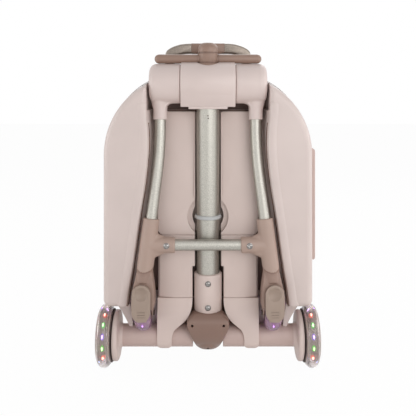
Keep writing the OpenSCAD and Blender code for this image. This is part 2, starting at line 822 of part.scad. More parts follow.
// Shield at the front of the foot: its front outline cut by its side outline
module foot_shield() {
  w = foot_x;
  zw = foot_wide_z;
  za = axle_z;
  half = [[sleeve_d / 2 - 0.5, sleeve_z0 + 2], [w - 6.5, zw + 13], [w - 1.5, zw + 9], [w, zw + 5.5],
    [w - 0.1, zw + 1], [w - 2.4, zw - 7], [w - 5.4, zw - 15], [w - 8.4, za + 4], [w - 11, za - 3],
    [w - 16, za - 9], [w - 23.5, za - 12.5]];
  intersection() {
    translate([0, axle_y, 0]) rotate([90, 0, 0]) linear_extrude(height = foot_front + 1)
      polygon(concat(half, [[0, za - 13.7]],
        [for (i = [len(half) - 1 : -1 : 0]) [-half[i][0], half[i][1]]]));
    translate([-w - 1, axle_y, 0]) rotate([90, 0, 90]) linear_extrude(height = 2 * w + 2)
      polygon([[0, sleeve_z0 + 2], [-sleeve_d / 2, sleeve_z0 + 2], [2 - foot_front, zw + 10],
        [-foot_front - 0.5, zw + 3], [1 - foot_front, zw - 11], [6 - foot_front, za + 2],
        [14 - foot_front, za - 9], [24 - foot_front, za - 13.5], [0, za - 14]]);
  }
}

// Foot of the column: hinge barrel on the axle and a bulb that holds the tube
module column_foot() {
  bulb_x = sleeve_d / 2 + 4;
  color(dark_c) difference() {
    union() {
      translate([0, axle_y, axle_z]) rotate([0, 90, 0]) rotate_extrude() union() {
        translate([0, 5 - foot_low_x]) square([foot_r, 2 * foot_low_x - 10]);
        translate([0, -foot_low_x]) square([foot_r - 5, 2 * foot_low_x]);
        for (s = [-1, 1]) translate([foot_r - 5, s * (foot_low_x - 5)]) circle(5);
      }
      translate([0, axle_y, 0]) rotate_extrude() polygon([[0, axle_z], [foot_low_x - 1, axle_z],
        [bulb_x, foot_wide_z - 9], [bulb_x, foot_wide_z + 9],
        [sleeve_d / 2 + 1, sleeve_z0 - 2], [sleeve_d / 2, sleeve_z0], [0, sleeve_z0]]);
      foot_shield();
    }
    translate([0, axle_y, axle_z]) x_rod(-foot_x - 1, foot_x + 1, axle_d / 2 + run_gap);
    translate([0, axle_y, column_z0]) cylinder(h = sleeve_z1, r = column_d / 2);
    translate([0, axle_y, sleeve_z0]) cylinder(h = sleeve_z1, r = sleeve_d / 2);
    for (s = [-1, 1]) translate([s * (foot_x - 9), axle_y - foot_r, foot_wide_z + 1])
      rotate([90, 0, 0]) cylinder(h = 20, r = 2);
    for (s = [-1, 1]) translate([s * (beam_gap_x + 0.5 * beam_r), axle_y, axle_z])
      x_rod(-0.5 * beam_r, 0.5 * beam_r, beam_r + 2);
  }
}

module foot_sleeve() {
  color(panel_c) translate([0, axle_y, 0]) difference() {
    union() {
      translate([0, 0, sleeve_z0]) cylinder(h = sleeve_z1 - sleeve_z0 - 2, r = sleeve_d / 2);
      translate([0, 0, sleeve_z1 - 2]) cylinder(h = 2, r1 = sleeve_d / 2, r2 = sleeve_d / 2 - 1.5);
    }
    translate([0, 0, sleeve_z0 - 1]) cylinder(h = sleeve_z1, r = column_d / 2);
    for (z = [sleeve_z0 + 11, sleeve_z1 - 13]) translate([0, 0, z]) rotate([90, 0, 0])
      cylinder(h = sleeve_d, r = 2);
  }
}

module column_tube() {
  z1 = head_z - 12;
  color(metal_c) translate([0, axle_y, 0]) difference() {
    translate([0, 0, column_z0]) cylinder(h = z1 - column_z0, r = column_d / 2);
    translate([0, 0, column_z0 + 4]) cylinder(h = z1, r = column_bore / 2);
    for (z = [sleeve_z0 + 11, sleeve_z1 - 13]) translate([0, 0, z]) rotate([90, 0, 0])
      cylinder(h = sleeve_d, r = 2);
    for (z = [head_z - 52, head_z - 57]) translate([0, 0, z]) rotate([90, 0, 0])
      cylinder(h = column_d, r = 0.9);
  }
}

module collar_ring() {
  color(metal_c) translate([0, axle_y, scoop_z - collar_h / 2]) difference() {
    rotate_extrude() union() {
      square([collar_d / 2 - 1, collar_h]);
      translate([0, 1]) square([collar_d / 2, collar_h - 2]);
      for (z = [1, collar_h - 1]) translate([collar_d / 2 - 1, z]) circle(1);
    }
    translate([0, 0, -1]) cylinder(h = collar_h + 2, r = column_d / 2);
  }
}

// Dome screw head with its shank, pointing to +Y from the face at the origin
module dome_screw(shank_l) {
  h = screw_d * 0.3;
  r = (screw_d * screw_d / 4 + h * h) / (2 * h);
  rotate([90, 0, 0]) difference() {
    translate([0, 0, h - r]) sphere(r);
    translate([0, 0, -2 * r]) cylinder(h = 2 * r, r = 2 * r);
  }
  rotate([-90, 0, 0]) translate([0, 0, -0.2]) cylinder(h = shank_l + 0.2, r = 2);
}

module column_screws() {
  color(metal_c) difference() {
    for (z = [sleeve_z0 + 11, sleeve_z1 - 13])
      translate([0, axle_y - sleeve_d / 2 + 0.5, z]) dome_screw(5.5);
    difference() {
      translate([0, axle_y, sleeve_z0]) cylinder(h = sleeve_z1 - sleeve_z0, r = sleeve_d / 2);
      for (z = [sleeve_z0 + 11, sleeve_z1 - 13]) translate([0, axle_y, z]) rotate([90, 0, 0])
        cylinder(h = sleeve_d, r = 2);
    }
    translate([0, axle_y, sleeve_z0]) cylinder(h = sleeve_z1 - sleeve_z0, r = column_bore / 2);
  }
}

// Middle of the saddle barrel with its neck and two stub shafts
module head_barrel() {
  color(shell_c) translate([0, axle_y, head_z]) difference() {
    union() {
      rotate([0, 90, 0]) rotate_extrude() union() {
        translate([0, 3 - head_x]) square([head_r, 2 * head_x - 6]);
        translate([0, -head_x]) square([head_r - 3, 2 * head_x]);
        for (s = [-1, 1]) translate([head_r - 3, s * (head_x - 3)]) circle(3);
      }
      translate([0, 0, -head_r - 6]) cylinder(h = head_r, r = sleeve_d / 2);
      translate([5 - head_r, -head_r / 3, -head_r - 4])
        cube([2 * head_r - 10, 2 * head_r / 3, head_r / 2]);
      x_rod(-stub_x, stub_x, stub_d / 2);
    }
    translate([0, 0, -2 * head_r]) cylinder(h = 2 * head_r - 12, r = column_d / 2);
    translate([0, 0, -14]) cylinder(h = 2 * head_r, r = column_bore / 2);
    translate([0, 0, stem_foot_up - 0.5]) cylinder(h = head_r, r = stem_d / 2 + 2.5);
    translate([0, 0, bar_up]) x_rod(-head_x - 1, head_x + 1, bar_d / 2 + bar_gap);
  }
}

// One end of the yoke with the socket for the side tube, about the barrel's axis
module yoke(s) {
  x0 = head_x + yoke_gap;
  color(shell_c) place_frame() on_side(s) difference() {
    union() {
      rotate([0, 90, 0]) rotate_extrude() union() {
        translate([0, x0]) square([yoke_r, yoke_x - yoke_round - x0]);
        translate([0, x0]) square([yoke_r - yoke_round, yoke_x - x0]);
        translate([yoke_r - yoke_round, yoke_x - yoke_round]) circle(yoke_round);
      }
      translate([arm_x, 0, -socket_down]) cylinder(h = socket_down, r = socket_d / 2);
      translate([arm_x, 0, -yoke_r - 7]) cylinder(h = 14, r1 = socket_d / 2, r2 = socket_d / 2 + 3);
    }
    x_rod(x0 - 1, stub_x + 1, stub_d / 2 + run_gap);
    translate([arm_x, 0, -socket_down - 1]) cylinder(h = socket_down - 27, r = arm_d / 2);
  }
}

module yoke_left() { yoke(-1); }
module yoke_right() { yoke(1); }

// The swing frame is drawn about the barrel's axis, with its legs straight down
module place_frame() {
  translate([0, axle_y, head_z]) rotate([-leg_lean, 0, 0]) children();
}

// Bend of a side tube: rings of bend_sides points about the bend's centre
bend_sides = 32;
bend_rings = 8;
module arm_bend(r) {
  function ring(i, j) = let (a = (splay + 0.2) * i / bend_rings - 0.1, u = 360 * j / bend_sides,
    reach = bend_r + r * cos(u))
    [arm_x + bend_r - reach * cos(a), r * sin(u), -bend_down - reach * sin(a)];
  polyhedron(
    points = [for (i = [0 : bend_rings], j = [0 : bend_sides - 1]) ring(i, j)],
    faces = concat(
      [[for (j = [0 : bend_sides - 1]) j]],
      [[for (j = [bend_sides - 1 : -1 : 0]) bend_rings * bend_sides + j]],
      [for (i = [0 : bend_rings - 1], j = [0 : bend_sides - 1]) let (k = (j + 1) % bend_sides)
        [i * bend_sides + k, i * bend_sides + j, (i + 1) * bend_sides + j,
          (i + 1) * bend_sides + k]]));
}

// Splayed run of a side tube below its bend
module arm_low(r, low) {
  translate([arm_x + splay_dx, 0, -bend_down - splay_dz]) rotate([0, 180 - splay, 0])
    cylinder(h = (low - bend_down - splay_dz) / cos(splay), r = r);
}

// Straight run, bend and splayed run of a side tube with radius r
module arm_run(r, top, low) {
  translate([arm_x, 0, -bend_down]) cylinder(h = bend_down - top, r = r);
  arm_bend(r - eps);
  arm_low(r, low);
}

module arm_tube(s) {
  color(metal_c) place_frame() on_side(s) difference() {
    arm_run(arm_d / 2, 28, rim_down + 24);
    arm_run(arm_d / 2 - arm_t, 27, rim_down + 25);
  }
}

module arm_tube_left() { arm_tube(-1); }
module arm_tube_right() { arm_tube(1); }

// T bracket: a splayed sleeve with an arm for the cross tube
module bracket(s) {
  color(taupe_c) place_frame() on_side(s) difference() {
    union() {
      translate([arm_line_x(rim_down), 0, -rim_down]) rotate([0, 180 - splay, 0])
        cylinder(h = (seam_down - rim_down) / cos(splay), r = bracket_d / 2);
      translate([0, 0, -cross_down]) x_rod(bracket_in_x, arm_line_x(cross_down), bracket_d / 2 - 0.5);
    }
    arm_low(arm_d / 2, rim_down + 24);
    translate([0, 0, -cross_down]) x_rod(0, bracket_in_x + 22, cross_d / 2);
    translate([bracket_in_x + 13.5, 0, -cross_down]) rotate([90, 0, 0])
      cylinder(h = bracket_d, r = 2);
  }
}

module bracket_left() { bracket(-1); }
module bracket_right() { bracket(1); }

module cross_tube() {
  x1 = bracket_in_x + 22;
  color(metal_c) place_frame() translate([0, 0, -cross_down]) difference() {
    x_rod(-x1, x1, cross_d / 2);
    x_rod(-x1 - 1, x1 + 1, cross_d / 2 - arm_t);
    for (s = [-1, 1]) translate([s * (bracket_in_x + 13.5), 0, 0]) rotate([90, 0, 0])
      cylinder(h = bracket_d, r = 2);
  }
}

module frame_screws() {
  color(metal_c) place_frame() difference() {
    for (s = [-1, 1]) translate([s * (bracket_in_x + 13.5), 1 - bracket_d / 2, -cross_down])
      dome_screw(5.5);
    difference() {
      translate([0, 0, -cross_down]) x_rod(-case_w / 3, case_w / 3, bracket_d / 2 - 0.5);
      for (s = [-1, 1]) translate([s * (bracket_in_x + 13.5), 0, -cross_down]) rotate([90, 0, 0])
        cylinder(h = bracket_d, r = 2);
    }
  }
}

// Back face of the pedals, their upper end and their pivot, about the barrel's axis
pedal_y = caster_in - caster_r - shoe_gap - shoe_t;
pedal_top_down = caster_down - pedal_l + pedal_low;
pivot_y = pedal_y + 6.5;
pivot_down = pedal_top_down + 14;

// Fork below the bracket: a hood with two cheeks round the small wheel
module fork(s) {
  xi = caster_x - fork_w / 2;
  xo = caster_x + fork_w / 2;
  xt = arm_line_x(seam_down);
  rt = bracket_d / 2 - 0.5;
  color(fork_c) place_frame() on_side(s) difference() {
    intersection() {
      translate([0, case_d / 2, 0]) rotate([90, 0, 0]) linear_extrude(height = case_d)
        polygon([[xi, -pedal_top_down], [xi, -case_h - caster_d], [xo, -case_h - caster_d],
          [xo, -pedal_top_down - 6], [xt + rt, -seam_down], [xt + rt - 1, 6 - seam_down],
          [xt - rt - 1, 6 - seam_down], [xt - rt, -seam_down]]);
      union() {
        translate([xi, 0, 0]) rotate([90, 0, 90]) linear_extrude(height = fork_w)
          polygon([[-rt, 6 - seam_down], [-rt, 3 - pedal_top_down],
            [pedal_y + 9, -pedal_top_down - 4], [pedal_y + 10, 8 - caster_down],
            [caster_in - 11, 3 - caster_down], [caster_in + 11, 3 - caster_down],
            [caster_in + 12, 18 - caster_down], [rt, 6 - seam_down]]);
        translate([0, caster_in, -caster_down]) x_rod(xi, xo, 12);
        translate([0, pivot_y, -pivot_down]) x_rod(xi, xo, 5);
        translate([xi, pivot_y, -pivot_down - 4.5]) cube([fork_w, 12, 9]);
      }
    }
    translate([arm_line_x(rim_down), 0, -rim_down]) rotate([0, 180 - splay, 0])
      cylinder(h = (seam_down - rim_down) / cos(splay), r = 2 * bracket_d);
    translate([xi + cheek_t, caster_in - 40, -caster_down - 40])
      cube([fork_w - 2 * cheek_t, 80, 40]);
    translate([caster_x - 8, pivot_y - 8, -pivot_down - 9]) cube([16, 16, 18]);
    translate([0, caster_in, -caster_down]) x_rod(xi + cheek_t, xo - cheek_t, caster_r + 3);
    translate([0, caster_in, -caster_down]) x_rod(0, case_w, caster_pin_d / 2);
    translate([0, pivot_y, -pivot_down]) x_rod(0, case_w, pedal_pin_d / 2 + run_gap);
  }
}

module fork_left() { fork(-1); }
module fork_right() { fork(1); }

module caster_pins() {
  color(metal_c) place_frame() for (s = [-1, 1]) on_side(s)
    translate([0, caster_in, -caster_down])
    x_rod(caster_x - fork_w / 2 - 1, caster_x + fork_w / 2 + 1, caster_pin_d / 2);
}

module caster(s) {
  r = 8;
  color(tyre_c) place_frame() on_side(s) translate([caster_x, caster_in, -caster_down])
    rotate([0, 90, 0]) rotate_extrude() difference() {
      union() {
        translate([0, -caster_w / 2]) square([caster_r - r, caster_w]);
        translate([0, r - caster_w / 2]) square([caster_r, caster_w - 2 * r]);
        for (m = [-1, 1]) translate([caster_r - r, m * (caster_w / 2 - r)]) circle(r);
      }
      translate([-1, -caster_w]) square([caster_pin_d / 2 + run_gap + 1, 2 * caster_w]);
      for (m = [-1, 1]) translate([caster_pin_d / 2 + 3, m * caster_w / 2 - 1]) square([7, 2]);
    }
}

module caster_left() { caster(-1); }
module caster_right() { caster(1); }

// Oval pedal with its dished thumb rest and its hinge pin
module pedal(s) {
  hw = pedal_w / 2;
  color(taupe_c) place_frame() on_side(s) translate([caster_x, pedal_y, 0]) difference() {
    union() {
      rotate([90, 0, 0]) linear_extrude(height = pedal_t) union() {
        translate([0, -pedal_top_down - hw]) circle(hw);
        translate([0, -pedal_top_down - pedal_l + hw]) circle(hw);
        translate([-hw, -pedal_top_down - pedal_l + hw]) square([pedal_w, pedal_l - pedal_w]);
      }
      translate([0, pivot_y - pedal_y, -pivot_down])
        x_rod(-fork_w / 2, fork_w / 2, pedal_pin_d / 2);
      translate([-6.5, 0, -pivot_down - 3]) cube([13, pivot_y - pedal_y, 6]);
      translate([-6.5, pivot_y - pedal_y, -pivot_down]) x_rod(0, 13, 3.5);
      translate([-8, 0, -caster_down - 7]) cube([16, shoe_t, 14]);
    }
    translate([0, -pedal_t - 26, -pedal_top_down - 17]) sphere(28);
    for (i = [0, 1, 2]) translate([-6, -pedal_t - 1, 13 + 4.4 * i - pedal_top_down - pedal_l])
      cube([12, 1.5, 1]);
  }
}

module pedal_left() { pedal(-1); }
module pedal_right() { pedal(1); }

slide_r = column_bore / 2 - run_gap;

module slide_tube() {
  color(metal_c) translate([0, axle_y, head_z + stem_foot_up]) difference() {
    translate([0, 0, -slide_l]) cylinder(h = slide_l + 4, r = slide_r);
    translate([0, 0, -slide_l - 1]) cylinder(h = slide_l + 8, r = slide_r - slide_t);
  }
}

module handle_stem() {
  color(fork_c) translate([0, axle_y, head_z]) difference() {
    union() {
      translate([0, 0, stem_foot_up]) cylinder(h = stem_up - stem_chamfer - stem_foot_up, r = stem_d / 2);
      translate([0, 0, stem_foot_up]) cylinder(h = 5, r = stem_d / 2 + 1.5);
      translate([0, 0, stem_up - stem_chamfer])
        cylinder(h = stem_chamfer, r1 = stem_d / 2, r2 = stem_d / 2 - stem_chamfer);
    }
    translate([0, 0, stem_foot_up - 1]) cylinder(h = 5, r = slide_r);
    translate([0, 0, bar_up]) x_rod(-stem_d, stem_d, bar_d / 2);
    translate([0, 0, stem_up - 10]) cylinder(h = 12, r = button_d / 2 + run_gap);
  }
}

module handle_bar() {
  x1 = bar_l / 2 - bar_d / 2;
  color(fork_c) translate([0, axle_y, head_z + bar_up]) {
    x_rod(-x1, x1, bar_d / 2);
    for (s = [-1, 1]) translate([s * x1, 0, 0]) sphere(bar_d / 2);
  }
}

module release_button() {
  color(dark_c) translate([0, axle_y, head_z + stem_up]) {
    translate([0, 0, -6]) cylinder(h = 6 + button_out - 1, r = button_d / 2);
    translate([0, 0, button_out - 1]) cylinder(h = 1, r1 = button_d / 2, r2 = button_d / 2 - 1);
  }
}

// Core of a rear wheel: bearing bore, dished outer face and a groove for the strip
module wheel_core(s) {
  w = wheel_w;
  color(shell_c) on_side(s) translate([wheel_x, axle_y, axle_z]) rotate([0, 90, 0])
    difference() {
      rotate_extrude() difference() {
        translate([0, 2]) square([core_r, w - 4]);
        translate([core_r - 2.5, w / 2 - strip_w / 2]) square([5, strip_w]);
        translate([14, w - 7]) square([core_r - 20, 7]);
        translate([-1, -1]) square([axle_d / 2 + run_gap + 1, w - 3.9]);
      }
      for (i = [0 : 5]) rotate([0, 0, 60 * i]) translate([24, 0, w / 2 + 1])
        cylinder(h = w, r = 5);
    }
}

module wheel_core_left() { wheel_core(-1); }
module wheel_core_right() { wheel_core(1); }

// Clear tyre with an inner groove that leaves room for the lights
module tyre(s) {
  r = 10;
  color(tyre_c) on_side(s) translate([wheel_x, axle_y, axle_z]) rotate([0, 90, 0])
    rotate_extrude() difference() {
      union() {
        translate([core_r, r]) square([wheel_r - core_r, wheel_w - 2 * r]);
        intersection() {
          union() for (m = [r, wheel_w - r]) translate([wheel_r - r, m]) circle(r);
          translate([core_r, 0]) square([r, wheel_w]);
        }
      }
      translate([core_r - 1, wheel_w / 2 - strip_w / 2]) square([5.5, strip_w]);
    }
}

module tyre_left() { tyre(-1); }
module tyre_right() { tyre(1); }

// Light strip in the groove of the core with its domes
module lamps(s) {
  color(lamp_c) on_side(s) translate([wheel_x + wheel_w / 2, axle_y, axle_z]) rotate([0, 90, 0]) {
    rotate_extrude() translate([core_r - 2.5, -strip_w / 2]) square([2.5, strip_w]);
    for (i = [0 : lamp_n - 1]) rotate([0, 0, 360 * i / lamp_n])
      translate([core_r + 0.5, 0, 0]) sphere(lamp_r);
  }
}

module lamps_left() { lamps(-1); }
module lamps_right() { lamps(1); }

back_shell();
back_lining();
zip_tape_back();
back_cover();
block_left();
block_right();
leg_left();
leg_right();
beam_left();
beam_right();
hub_cover_left();
hub_cover_right();
axle_rod();
rail_left();
rail_right();
rubber_foot_left();
rubber_foot_right();
gusset_left();
gusset_right();
carry_arm_left();
carry_arm_right();
carry_grip();
side_handle();
hinge_case();
front_shell();
front_lining();
zip_tape_front();
hinge_lid();
zip_slider();
column_foot();
foot_sleeve();
column_tube();
collar_ring();
head_barrel();
column_screws();
yoke_left();
yoke_right();
arm_tube_left();
arm_tube_right();
bracket_left();
bracket_right();
cross_tube();
frame_screws();
fork_left();
fork_right();
caster_pins();
slide_tube();
handle_stem();
handle_bar();
release_button();
wheel_core_left();
wheel_core_right();
tyre_left();
tyre_right();
lamps_left();
lamps_right();
caster_left();
caster_right();
pedal_left();
pedal_right();
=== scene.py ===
# %% [markdown]
# # A child's ride-on case
# A hard case on two lit wheels, with a frame that folds out of its back: a column with a
# saddle barrel, two legs with small wheels and brake pedals, and a bar to pull it by.
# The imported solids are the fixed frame. Each visible piece is then modelled around them, in
# metres, with its place in its mesh. Sizes are written in millimetres and multiplied by mm.

# %% Load the frame
import math

import bmesh
import bpy
from mathutils import Matrix, Vector


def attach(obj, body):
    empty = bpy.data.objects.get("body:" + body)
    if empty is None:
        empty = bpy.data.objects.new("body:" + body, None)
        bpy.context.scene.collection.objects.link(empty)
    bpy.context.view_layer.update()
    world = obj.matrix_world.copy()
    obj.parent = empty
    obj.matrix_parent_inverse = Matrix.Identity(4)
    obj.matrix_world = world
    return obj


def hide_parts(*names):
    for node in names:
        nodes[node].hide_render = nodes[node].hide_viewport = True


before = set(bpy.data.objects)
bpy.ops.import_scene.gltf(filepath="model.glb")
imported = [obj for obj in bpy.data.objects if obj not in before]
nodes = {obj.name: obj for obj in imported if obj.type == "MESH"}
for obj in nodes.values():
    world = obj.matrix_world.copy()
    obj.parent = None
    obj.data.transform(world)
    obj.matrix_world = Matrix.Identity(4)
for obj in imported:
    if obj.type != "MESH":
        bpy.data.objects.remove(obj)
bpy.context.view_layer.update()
mm = 0.001
print("solids in the frame:", len(nodes))

# %% [markdown]
# ## Sizes that several pieces share
# The axle carries the rear wheels and the foot of the column. The swing frame hangs from the
# barrel and leans 6.6 degrees, so its pieces are modelled upright about the barrel's axis and
# set in place with one matrix.

# %% Shared sizes
AXLE_Y, AXLE_Z = -52.5, 50.0
HEAD_Z = 468.0
BAR_Z = HEAD_Z + 41
PART_Y = 13.5
CASE_LOW, CASE_MIDDLE, CASE_TOP = 103.5, 294.5, 485.5
CASE_W = 345.0
FLOOR_Y = -24.5
LEAN = math.radians(-6.6)
swing_place = Matrix.Translation((0, AXLE_Y * mm, HEAD_Z * mm)) @ Matrix.Rotation(LEAN, 4, "X")
print("barrel axis at", HEAD_Z, "mm, axle at", AXLE_Z, "mm")

# %% [markdown]
# ## Hand tools
# An operator acts on everything that is selected, so each step first clears the selection.
# Vertices, edges and faces are then chosen by where their middle lies.


# %% Hand tools
def work_on(piece):
    if bpy.context.object and bpy.context.object.mode != "OBJECT":
        bpy.ops.object.mode_set(mode="OBJECT")
    bpy.ops.object.select_all(action="DESELECT")
    piece.select_set(True)
    bpy.context.view_layer.objects.active = piece
    return piece


def named(name):
    """Names the primitive that was just added, and sets its place in its mesh."""
    piece = work_on(bpy.context.object)
    piece.name = piece.data.name = name
    bpy.ops.object.transform_apply(location=True, rotation=True, scale=True)
    return piece


def choose(piece, kind, test):
    """Chooses, in edit mode, the verts, edges or faces whose middle in mm passes the test."""
    edit_all(piece)
    bpy.ops.mesh.select_mode(type={"verts": "VERT", "edges": "EDGE", "faces": "FACE"}[kind])
    bpy.ops.mesh.select_all(action="DESELECT")
    mesh = bmesh.from_edit_mesh(piece.data)
    for each in getattr(mesh, kind):
        corners = [each] if kind == "verts" else each.verts
        middle = sum((v.co for v in corners), Vector()) / len(corners) / mm
        each.select_set(bool(test(middle)))
    mesh.select_flush_mode()
    bmesh.update_edit_mesh(piece.data)


def done(piece):
    bpy.ops.object.mode_set(mode="OBJECT")
    return piece


def edit_all(piece):
    work_on(piece)
    bpy.ops.object.mode_set(mode="EDIT")
    bpy.ops.mesh.select_all(action="SELECT")


def turned_out(piece):
    """Points all the faces outwards."""
    edit_all(piece)
    bpy.ops.mesh.normals_make_consistent(inside=False)
    return done(piece)


def bevel_chosen(piece, offset, segments):
    bpy.ops.mesh.bevel(offset=offset * mm, segments=segments, affect="EDGES")
    return done(piece)


def smooth_by(piece, degrees):
    """Shades smooth all but the edges sharper than the angle."""
    work_on(piece)
    bpy.ops.object.shade_smooth_by_angle(angle=math.radians(degrees))
    return piece


def modify(piece, kind, **settings):
    """Adds a modifier and applies it."""
    work_on(piece)
    modifier = piece.modifiers.new(kind, kind)
    for name, value in settings.items():
        setattr(modifier, name, value)
    bpy.ops.object.modifier_apply(modifier=modifier.name)
    return piece


def soften(piece, width, segments=3, angle=30):
    """Rounds the hard edges, as a mould's edges are, and smooths the rest."""
    modify(piece, "BEVEL", width=width * mm, segments=segments, limit_method="ANGLE",
           angle_limit=math.radians(angle), miter_outer="MITER_ARC")
    return smooth_by(piece, 35)


def cut(piece, *tools, keep="DIFFERENCE"):
    for tool in tools:
        modify(piece, "BOOLEAN", object=tool, operation=keep, solver="EXACT")
        bpy.data.objects.remove(tool)
    return piece


def joined(name, *parts):
    work_on(parts[0])
    for part in parts[1:]:
        part.select_set(True)
    if len(parts) > 1:
        bpy.ops.object.join()
    parts[0].name = parts[0].data.name = name
    return parts[0]


def melted(piece, grain, rounds):
    """Turns overlapping primitives into one moulding, remeshed at grain mm and smoothed."""
    modify(piece, "REMESH", mode="VOXEL", voxel_size=grain * mm, use_smooth_shade=True)
    modify(piece, "SMOOTH", factor=0.5, iterations=rounds)
    work_on(piece)
    bpy.ops.object.shade_smooth()
    return piece


def copied(piece, name, matrix):
    """A copy with its own mesh, moved by matrix; a mirrored copy gets its faces turned back."""
    other = piece.copy()
    other.data = piece.data.copy()
    other.name = other.data.name = name
    bpy.context.collection.objects.link(other)
    other.data.transform(matrix)
    if matrix.determinant() < 0:
        edit_all(other)
        bpy.ops.mesh.flip_normals()
        done(other)
    return other


MIRROR = Matrix.Scale(-1, 4, (1, 0, 0))


# %% [markdown]
# ## Ways to start a piece
# Nearly every moulding here is a rod, a box, an outline that is pulled out straight, or a
# profile that is turned about an axis.


# %% Ways to start a piece
def rod(name, start, end, radius, sides=48, end_radius=None):
    start, end = Vector(start) * mm, Vector(end) * mm
    along = end - start
    bpy.ops.mesh.primitive_cone_add(
        vertices=sides, radius1=radius * mm, radius2=(end_radius or radius) * mm, depth=along.length,
        location=(start + end) / 2, rotation=along.to_track_quat("Z", "Y").to_euler())
    return named(name)


def on_axle(low, high, radius, sides=64):
    """A rod along the axle, to cut room for the beam and the wheels."""
    return rod("axle_tool", (low, AXLE_Y, AXLE_Z), (high, AXLE_Y, AXLE_Z), radius, sides)


def box(name, low, high):
    low, high = Vector(low) * mm, Vector(high) * mm
    bpy.ops.mesh.primitive_cube_add(size=1, location=(low + high) / 2)
    bpy.context.object.scale = high - low
    return named(name)


def unit(axis):
    return Vector([float(letter == axis) for letter in "XYZ"])


def pulled(name, outline, start, end, axis="Y"):
    """An outline in mm, laid flat as a circle's corners, then extruded along an axis."""
    bpy.ops.mesh.primitive_circle_add(vertices=len(outline), radius=mm, fill_type="NGON")
    piece = named(name)
    for vertex, (a, b) in zip(piece.data.vertices, outline):
        vertex.co = Vector({"Y": (a, start, b), "X": (start, a, b), "Z": (a, b, start)}[axis]) * mm
    edit_all(piece)
    step = unit(axis) * (end - start) * mm
    bpy.ops.mesh.extrude_region_move(TRANSFORM_OT_translate={"value": step})
    return turned_out(piece)


def from_points(name, points, edges, faces):
    """An object from a plain list of points in metres, with its edges or faces."""
    mesh = bpy.data.meshes.new(name)
    mesh.from_pydata(points, edges, faces)
    piece = bpy.data.objects.new(name, mesh)
    bpy.context.collection.objects.link(piece)
    return piece


def turned(name, profile, centre, axis="X", steps=72):
    """A profile of (along the axis, radius) points in mm, spun about the axis through centre."""
    centre = Vector(centre) * mm
    side = Vector((0, 0, 1)) if axis == "X" else Vector((1, 0, 0))
    along = unit(axis)
    points = [centre + (along * a + side * r) * mm for a, r in profile]
    piece = from_points(name, points, [(i, i + 1) for i in range(len(points) - 1)], [])
    edit_all(piece)
    bpy.ops.mesh.spin(steps=steps, angle=math.tau, center=centre, axis=along)
    bpy.ops.mesh.select_all(action="SELECT")
    bpy.ops.mesh.remove_doubles(threshold=0.01 * mm)
    return smooth_by(turned_out(piece), 35)


def arc(cx, cy, radius, first, last, steps=8):
    """Points along a circle from the angle first to last, in degrees."""
    turns = [math.radians(first + (last - first) * i / steps) for i in range(steps + 1)]
    return [(cx + radius * math.cos(t), cy + radius * math.sin(t)) for t in turns]


def eased(points, steps=6):
    """A smooth curve through the given points, for outlines that sweep."""
    found = []
    for i in range(len(points) - 1):
        near = [max(0, min(len(points) - 1, k)) for k in (i - 1, i, i + 1, i + 2)]
        p0, p1, p2, p3 = (Vector(points[k]) for k in near)
        for step in range(steps):
            t = step / steps
            found.append(tuple(0.5 * (2 * p1 + (p2 - p0) * t + (2 * p0 - 5 * p1 + 4 * p2 - p3) * t * t
                                      + (3 * p1 - p0 - 3 * p2 + p3) * t ** 3)))
    return found + [tuple(points[-1])]


# %% [markdown]
# ## Colours and nodes
# A hex colour as a painter reads it is sRGB. The renderer works in linear light, so one
# function converts it. Another adds a node with its settings, values and links in one line,
# and a third adds a colour ramp between two tones.


# %% Colours and nodes
def light(code):
    parts = [int(code[i:i + 2], 16) / 255 for i in (1, 3, 5)]
    return [c / 12.92 if c <= 0.04045 else ((c + 0.055) / 1.055) ** 2.4 for c in parts] + [1]


def add(tree, kind, settings=None, **sockets):
    made = tree.nodes.new("ShaderNode" + kind)
    for name, value in (settings or {}).items():
        setattr(made, name, value)
    for name, value in sockets.items():
        by_number = name[0] == "i" and name[1:].isdigit()
        found = made.inputs[int(name[1:]) if by_number else name.replace("_", " ")]
        if isinstance(value, bpy.types.NodeSocket):
            tree.links.new(value, found)
        else:
            found.default_value = value
    return made


def ramp(tree, factor, low, high, start=0.0, end=1.0):
    tone = add(tree, "ValToRGB", Fac=factor)
    for stop, position, colour in zip(tone.color_ramp.elements, (start, end), (low, high)):
        stop.position = position
        stop.color = colour
    return tone.outputs["Color"]


def toned(colour, gain):
    return [min(1, c * gain) for c in colour[:3]] + [1]


def finish_of(name):
    """A new material with its tree and the object's own coordinates in metres."""
    material = bpy.data.materials.new(name)
    material.use_nodes = True
    tree = material.node_tree
    tree.nodes.clear()
    return material, tree, add(tree, "TexCoord").outputs["Object"]


def principled(material, **sockets):
    """Ends the material's tree in a principled shader."""
    shader = add(material.node_tree, "BsdfPrincipled", **sockets)
    add(material.node_tree, "OutputMaterial", Surface=shader.outputs["BSDF"])
    return material


# %% [markdown]
# ## Moulded plastic
# The case, covers and brackets are ABS, injection moulded. The mould is spark eroded, which
# leaves a fine grain, here 0.9 mm, that breaks highlights up into a satin sheen. ABS has an
# IOR near 1.53. A slow change of tone over some 60 mm stands for flow in the mould. The
# rubber of the two front feet is moulded too: dark, dull and coarser.


